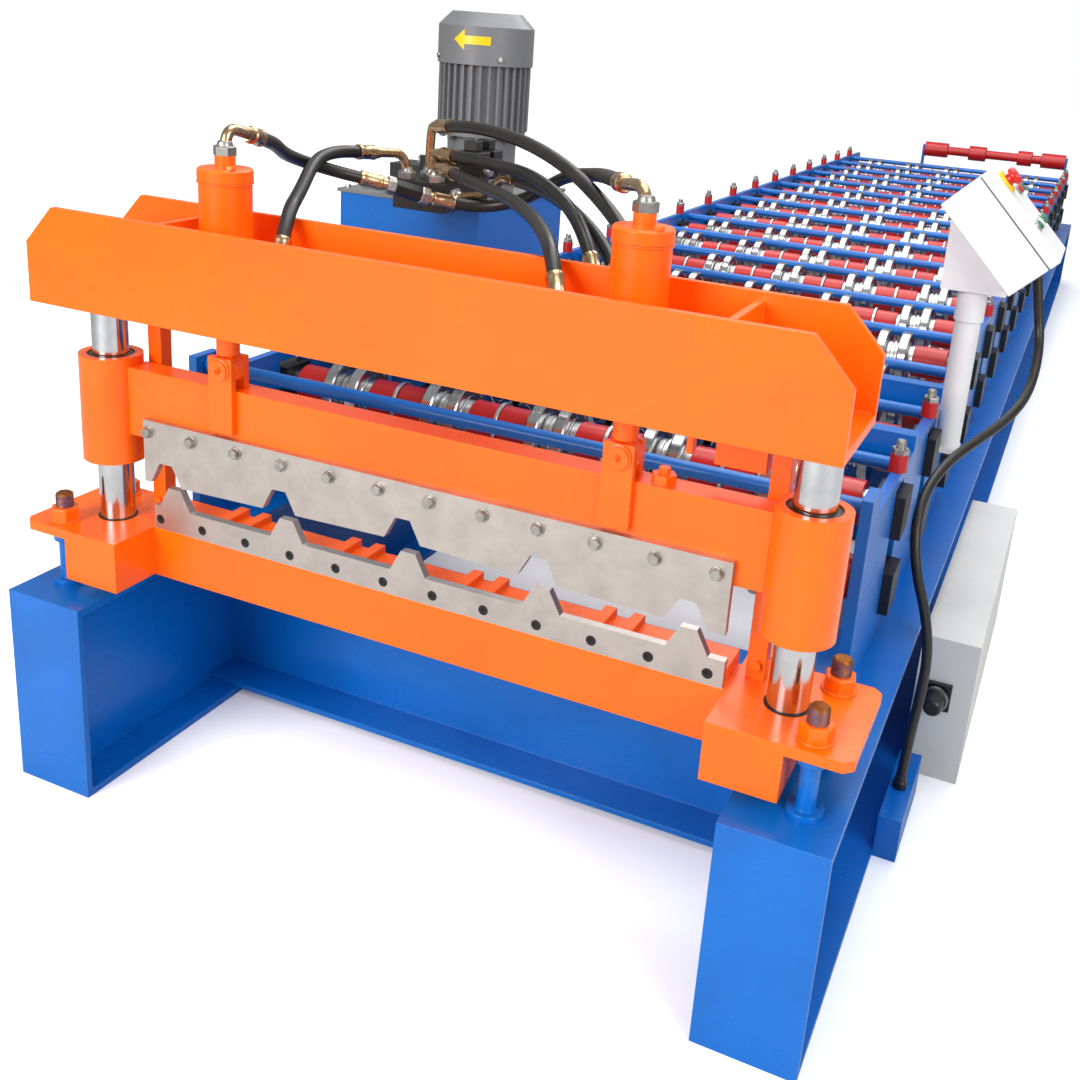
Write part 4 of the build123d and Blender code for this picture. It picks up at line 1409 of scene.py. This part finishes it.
@dataclass
class Hydraulics:
    """The hoses between the pump station and the shear, with their fittings."""

    hose_radius: float = 12.5
    pipe_radius: float = 9.5
    core_radius: float = 8.3
    ferrule_length: float = 46.0
    ferrule_radius: float = 15.4
    port_nut_height: float = 16.0
    port_nut_flat: float = 34.0
    coupling_nut_height: float = 18.0
    coupling_nut_flat: float = 32.0
    neck_top: float = 1231.0
    manifold_top: float = 1140.0
    low_port: float = 1022.0
    rear_face: float = 253.0
    cylinder_side: float = 44.0
    cylinders: tuple[float, float] = (-383.0, 361.0)
    cylinder_y: float = 155.0
    left_top: Route = (
        (-390, 249, 1254), (-418, 332, 1236), (-451, 403, 1210), (-469, 476, 1190),
        (-463, 526, 1176), (-441, 571, 1162), (-405, 605, 1151),
    )
    right_top: Route = (
        (-275, 725, 1108), (-234, 752, 1100), (-184, 769, 1107), (-130, 770, 1126),
        (-78, 751, 1154), (-28, 711, 1182), (26, 655, 1203), (88, 580, 1217), (160, 470, 1234),
        (225, 355, 1246), (278, 262, 1254),
    )
    left_bottom: Route = (
        (-436, 640, 1198), (-452, 580, 1202), (-452, 520, 1196), (-424, 450, 1182),
        (-385, 375, 1165), (-340, 291, 1152), (-316, 243, 1144), (-300, 208, 1120),
        (-291, 183, 1089),
    )
    upper: Route = (
        (-307, 760, 1256), (-234, 720, 1264), (-147, 670, 1265), (-56, 610, 1259),
        (29, 550, 1245), (108, 490, 1224), (183, 430, 1194), (240, 385, 1162), (278, 350, 1124),
    )
    right_bottom: Route = (
        (-260, 700, 1171), (-191, 650, 1167), (-115, 590, 1164), (-36, 520, 1164),
        (40, 440, 1158), (104, 352, 1154), (158, 270, 1150), (190, 222, 1134), (213, 189, 1104),
    )
    middle: Route = (
        (-284, 740, 1199), (-209, 700, 1200), (-129, 655, 1203), (-41, 600, 1202),
        (39, 540, 1187), (108, 480, 1163), (155, 430, 1131), (186, 395, 1098),
    )
    rear: Route = (
        (-112, 690, 1175), (-53, 650, 1173), (11, 600, 1169), (73, 545, 1158),
        (139, 492, 1136), (192, 440, 1112), (228, 402, 1085),
    )

    def _hoses(self) -> list[Hose]:
        """The seven hoses, each with what its ends are screwed to.

        Returns:
            The hoses.
        """
        left, right = self.cylinders
        y, top, low, rear = self.cylinder_y, self.manifold_top, self.low_port, self.rear_face
        return [
            Hose("left_top", self.left_top, ((left, y, 1278), (left, y, self.neck_top)), None),
            Hose("right_top", self.right_top, None, ((right, y, 1268), (right, y, self.neck_top))),
            Hose("left_bottom", self.left_bottom, ((-396, 752, 1192), (-396, 752, top)),
                 ((-276, y, low), (left + self.cylinder_side, y, low))),
            Hose("upper", self.upper, ((-368, 794, 1249), (-368, 794, top)),
                 ((322, 309, 1083), (322, rear, 1083))),
            Hose("right_bottom", self.right_bottom, ((-327, 751, 1175), (-327, 751, top)),
                 ((262, y, low), (right - self.cylinder_side, y, low))),
            Hose("middle", self.middle, ((-350, 776, 1198), (-350, 776, top)),
                 ((228, 300, 1050), (228, rear, 1050))),
            Hose("rear", self.rear, ((-222, 766, 1116), (-296, 768, 1112)),
                 ((275, 306, 1046), (275, rear, 1046))),
        ]

    def _outer(self, route: Route, first: bool) -> Vector:
        """The outer end of the ferrule on one end of a hose.

        Args:
            route: The hose's route.
            first: True for the route's start, False for its end.

        Returns:
            The place.
        """
        end, inner = (route[0], route[1]) if first else (route[-1], route[-2])
        way = (Vector(end) - Vector(inner)).normalized()
        return Vector(end) + way * self.ferrule_length

    def build(self) -> None:
        """Makes each hose from port to port, then what sits on its ends, then the coupling."""
        meeting = []
        for hose in self._hoses():
            near, far = self._outer(hose.route, True), self._outer(hose.route, False)
            head = [hose.start[1], hose.start[0], near] if hose.start else [near]
            tail = [far, hose.end[0], hose.end[1]] if hose.end else [far]
            core = self.core_radius
            radii = [core] * len(head) + [self.hose_radius] * len(hose.route) + [core] * len(tail)
            curve = smooth_line(f"{hose.name}_hose", [*head, *hose.route, *tail], radii)
            line = spline_points(curve)
            bright, nuts = Forms(), Forms()
            for path, outer, joint in ((line, near, hose.start), (line[::-1], far, hose.end)):
                self._dress_end(bright, nuts, path, outer, joint)
                if joint is None:
                    meeting.append((path[0], (path[0] - path[1]).normalized()))
            fittings = [bright.piece(f"{hose.name}_ferrules_and_pipes", Finish.PASSIVATED),
                        nuts.piece(f"{hose.name}_nuts", Finish.ZINC, bevel=0.5)]
        self._coupling(*meeting)

    def _dress_end(
        self, bright: Forms, nuts: Forms, path: list[Vector], outer: Vector,
        joint: tuple[Point, Point] | None,
    ) -> None:
        """The pipe and ferrule along one end of a hose, and the nut in its port.

        Args:
            bright: Where the pipe and the ferrule go.
            nuts: Where the nut goes.
            path: The hose's line from this end.
            outer: The outer end of the ferrule.
            joint: The pipe's bend and port, where it has them.
        """
        start = reach_of(path, outer)
        n, r = self.ferrule_length, self.ferrule_radius
        if joint:
            steps = max(3, round(start / 5))
            pipe = [(start * k / steps, self.pipe_radius) for k in range(steps + 1)]
            bright.along(path, pipe, 20)
            port = Vector(joint[1])
            up = (Vector(joint[0]) - port).normalized()
            nuts.hexagon(port, up, self.port_nut_height, self.port_nut_flat, 0.4)
            neck = [(0, 13.5), (6, 12.5), (9, 10.5), (9, 5)]
            nuts.lathe(port + up * (self.port_nut_height - 1), up, neck, 24)
        else:
            nuts.hexagon(path[0], (path[0] - path[1]).normalized(), 8, 30, 0.4)
        crimp = [(0, 8), (0, 12), (n * 0.2, 12.5), (n * 0.26, r - 0.2), (n * 0.34, r - 0.2),
                 (n * 0.38, r - 0.9), (n, r - 0.9), (n + 2, r), (n + 9, r), (n + 10, r - 0.4),
                 (n + 10, 12)]
        bright.along(path, [(start + h, q) for h, q in crimp], 32)

    def _coupling(self, near: tuple[Vector, Vector], far: tuple[Vector, Vector]) -> None:
        """The coupling where the left and right upper hoses meet.

        Args:
            near: The end of one hose and the way out of it.
            far: The end of the other.
        """
        a, b = near[0], far[0]
        way = (b - a).normalized()
        height, flat = self.coupling_nut_height, self.coupling_nut_flat
        start = height - 2
        length = (b - a).length - 2 * start
        nuts, black = Forms(), Forms()
        nuts.hexagon(a, way, height, flat, 0.2)
        nuts.hexagon(b, -way, height, flat, 0.6)
        body = [(0, 14), (4, 17), (length - 4, 17), (length, 14)]
        black.lathe(a + way * start, way, body, 6, 0.4)
        nuts.piece("coupling_nuts", Finish.ZINC, bevel=0.5)
        black.piece("line_coupling", Finish.IRON, bevel=0.8)


@dataclass
class ControlStand:
    """The desk on its post, and the drive beside the beam."""

    low_corner: tuple[float, float] = (646.84, 1174.0)
    tilt: float = 46.0
    length: float = 233.0
    thickness: float = 120.0
    door_thickness: float = 24.5
    door_gap: float = 2.5
    gasket_inset: float = 2.0
    front: float = 1117.0
    back: float = 1327.0
    middle: float = 1222.0
    button_spots: tuple[tuple[float, float], ...] = (
        (150.0, -60.0), (150.0, -20.0), (150.0, 20.0), (150.0, 60.0), (70.0, 30.0), (70.0, 70.0),
    )
    stop_spot: tuple[float, float] = (40.0, -50.0)
    desk_gland: Point = (850.0, 1290.0, 1054.0)
    foot_gland: Point = (797.0, 704.0, 90.0)
    plug: Point = (822.0, 902.0, 196.0)
    plug_half: float = 30.0
    plug_base: float = 12.0
    plug_ring_place: float = 6.0
    cable_radius: float = 10.0
    cable: Route = (
        (850, 1290, 1030), (864, 1287, 960), (878, 1280, 900), (884, 1238, 850),
        (880, 1160, 802), (856, 1075, 768), (812, 990, 738), (768, 905, 710), (740, 825, 668),
        (738, 764, 606), (756, 742, 530), (786, 744, 450), (804, 744, 365), (804, 730, 285),
        (799, 712, 205), (797, 704, 108),
    )

    def dress(self, frame: dict) -> None:
        """Gives the post and the drive their finishes.
        """
        paint(frame, Finish.WHITE, "control_post", "desk_bracket")
        paint(frame, Finish.PALE, "drive_guard")
        paint(frame, Finish.BLUE, "drive_foot")

    def _plane(self) -> Matrix:
        """The desk's own frame: down the slope, along the line and out of the face.

        Returns:
            The placing from the desk's frame to the machine's.
        """
        a = math.radians(self.tilt)
        turn = Matrix(((math.cos(a), 0, math.sin(a)), (0, 1, 0), (-math.sin(a), 0, math.cos(a))))
        corner = Vector((self.low_corner[0], 0, self.low_corner[1]))
        return Matrix.Translation(corner) @ turn.to_4x4()

    def build(self) -> None:
        """Makes the desk, its buttons and its cable, and the plug on the guard."""
        self._box()
        self._buttons()
        self._stop()
        cable = smooth_line("desk_cable", self.cable, [self.cable_radius] * len(self.cable))
        line = spline_points(cable)
        self._guard()

    def _box(self) -> None:
        """The desk's body with its door and the gasket between them."""
        place = self._plane()
        body, door, strip = Forms(), Forms(), Forms()
        n, t, d = self.length, self.thickness, self.gasket_inset
        y0, y1 = self.front, self.back
        door_low = t - self.door_thickness
        body_top = door_low - self.door_gap
        body.block((0, y0, 0), (n, y1, body_top), place)
        door.block((0, y0, door_low), (n, y1, t), place)
        strip.block((d, y0 + d, body_top - 1), (n - d, y1 - d, door_low + 1.5), place)
        body.piece("desk_body", Finish.WHITE, bevel=2.5, replaces=["control_desk"])
        door.piece("desk_door", Finish.WHITE, bevel=2.5)
        strip.piece("desk_gasket", Finish.GASKET, bevel=0.4)

    def _buttons(self) -> None:
        """The round buttons, each in a bright bezel."""
        place = self._plane()
        out = place.to_3x3() @ Vector(UP)
        green, white, red, bezels = Forms(), Forms(), Forms(), Forms()
        order = (green, white, green, green, red, green)
        cap = [(0, 9), (9, 9), (10, 8.2), (10, 0.1)]
        for (u, shift), forms in zip(self.button_spots, order):
            spot = place @ Vector((u, self.middle + shift, self.thickness))
            forms.lathe(spot, out, cap, 24)
            bezels.lathe(spot, out, [(0, 11), (4, 11), (5, 10), (5, 8.8)], 24)
        green.piece("green_buttons", Finish.GREEN, replaces=["desk_buttons"])
        white.piece("white_button", Finish.WHITE)
        red.piece("red_button", Finish.STOP)
        bezels.piece("button_bezels", Finish.ZINC)

    def _stop(self) -> None:
        """The mushroom button on its yellow ring."""
        place = self._plane()
        out = place.to_3x3() @ Vector(UP)
        spot = place @ Vector((self.stop_spot[0], self.middle + self.stop_spot[1], self.thickness))
        ring, head = Forms(), Forms()
        ring.lathe(spot, out, [(0, 25), (5, 25), (6, 24), (6, 11)], 40)
        mushroom = [(5, 12), (14, 12), (16, 17), (18, 19), (24, 19), (28, 16.5), (29, 12), (29, 0.1)]
        head.lathe(spot, out, mushroom, 40)
        ring.piece("stop_ring", Finish.YELLOW)
        head.piece("stop_mushroom", Finish.STOP, replaces=["stop_button"])

    def _guard(self) -> None:
        """The plug on the end of the drive's guard and the glands at the cable's two ends."""
        forms, bright = Forms(), Forms()
        gland = [(0, 14), (14, 14), (17, 12), (26, 11), (28, 10.2)]
        forms.lathe(self.desk_gland, DOWN, gland, 24)
        forms.lathe(self.foot_gland, UP, gland, 24)
        x, y, z = self.plug
        half = self.plug_half
        forms.block((x - half, y, z - half), (x + half, y + self.plug_base, z + half))
        plug = [(0, 24), (16, 24), (18, 20), (52, 18), (56, 14), (56, 0.1)]
        forms.lathe((x, y, z), FRONT, plug, 28)
        ring = [(0, 26), (0, 27), (8, 27), (8, 26)]
        bright.lathe((x, y - self.plug_ring_place, z), FRONT, ring, 28)
        forms.piece("drive_plug_and_glands", Finish.BLACK, bevel=1.0)
        bright.piece("plug_ring", Finish.ZINC)


def smooth_line(
    name: str, points: Sequence[Sequence[float]], radii: Sequence[float]
) -> bpy.types.Object:
    """A hose or cable as one smooth curve, with the route's points as its control points.

    Args:
        name: The piece's name.
        points: The control points in working millimetres.
        radii: The radius at each point in millimetres.

    Returns:
        The curve's object.
    """
    curve = bpy.data.curves.new(name, "CURVE")
    curve.dimensions = "3D"
    spline = curve.splines.new("NURBS")
    spline.points.add(len(points) - 1)
    widest = max(radii)
    for point, place, radius in zip(spline.points, points, radii):
        point.co = (*row(place), 1.0)
        point.radius = radius / widest
    spline.order_u = 3
    spline.use_endpoint_u = True
    spline.resolution_u = 10
    curve.bevel_depth = widest / 1000
    curve.bevel_resolution = 5
    curve.use_fill_caps = True
    made = bpy.data.objects.new(name, curve)
    bpy.context.scene.collection.objects.link(made)
    curve.materials.append(Finish.RUBBER.material)
    settle(made, MACHINE)
    return made


def spline_points(made: bpy.types.Object) -> list[Vector]:
    """The points of a curve's own line in working millimetres.

    Args:
        made: The curve's object.

    Returns:
        The points in order.
    """
    bare = bpy.data.objects.new("bare_line", made.data.copy())
    bare.data.bevel_depth = 0.0
    bpy.context.scene.collection.objects.link(bare)
    mesh = bpy.data.meshes.new_from_object(bare.evaluated_get(bpy.context.evaluated_depsgraph_get()))
    line = [Vector(v.co) * 1000 + ORIGIN for v in mesh.vertices]
    bpy.data.meshes.remove(mesh)
    bpy.data.objects.remove(bare)
    return line


def place_on(line: Sequence[Vector], distance: float) -> tuple[Vector, Vector]:
    """The place and the direction at a distance along a line.

    Args:
        line: The line's points.
        distance: The distance from its start.

    Returns:
        The place and the way ahead.
    """
    left = distance
    for a, b in zip(line, line[1:]):
        step = (b - a).length
        if left <= step:
            return a.lerp(b, left / step), (b - a).normalized()
        left -= step
    return line[-1], (line[-1] - line[-2]).normalized()


def reach_of(line: Sequence[Vector], spot: Vector) -> float:
    """The distance along a line to its point nearest to a spot.

    Args:
        line: The line's points.
        spot: The spot.

    Returns:
        The distance from the line's start.
    """
    nearest = min(range(len(line)), key=lambda i: (line[i] - spot).length)
    return sum((b - a).length for a, b in zip(line[:nearest], line[1 : nearest + 1]))


def main() -> None:
    """Builds the machine's looks in order."""
    logging.basicConfig(level=logging.INFO, format="%(message)s")
    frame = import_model()
    Studio().build()
    for part in (Frame(), Shear(), FormingLine(), PumpStation(), ControlStand()):
        part.dress(frame)
        part.build()
    Hydraulics().build()


if __name__ == "__main__":
    main()
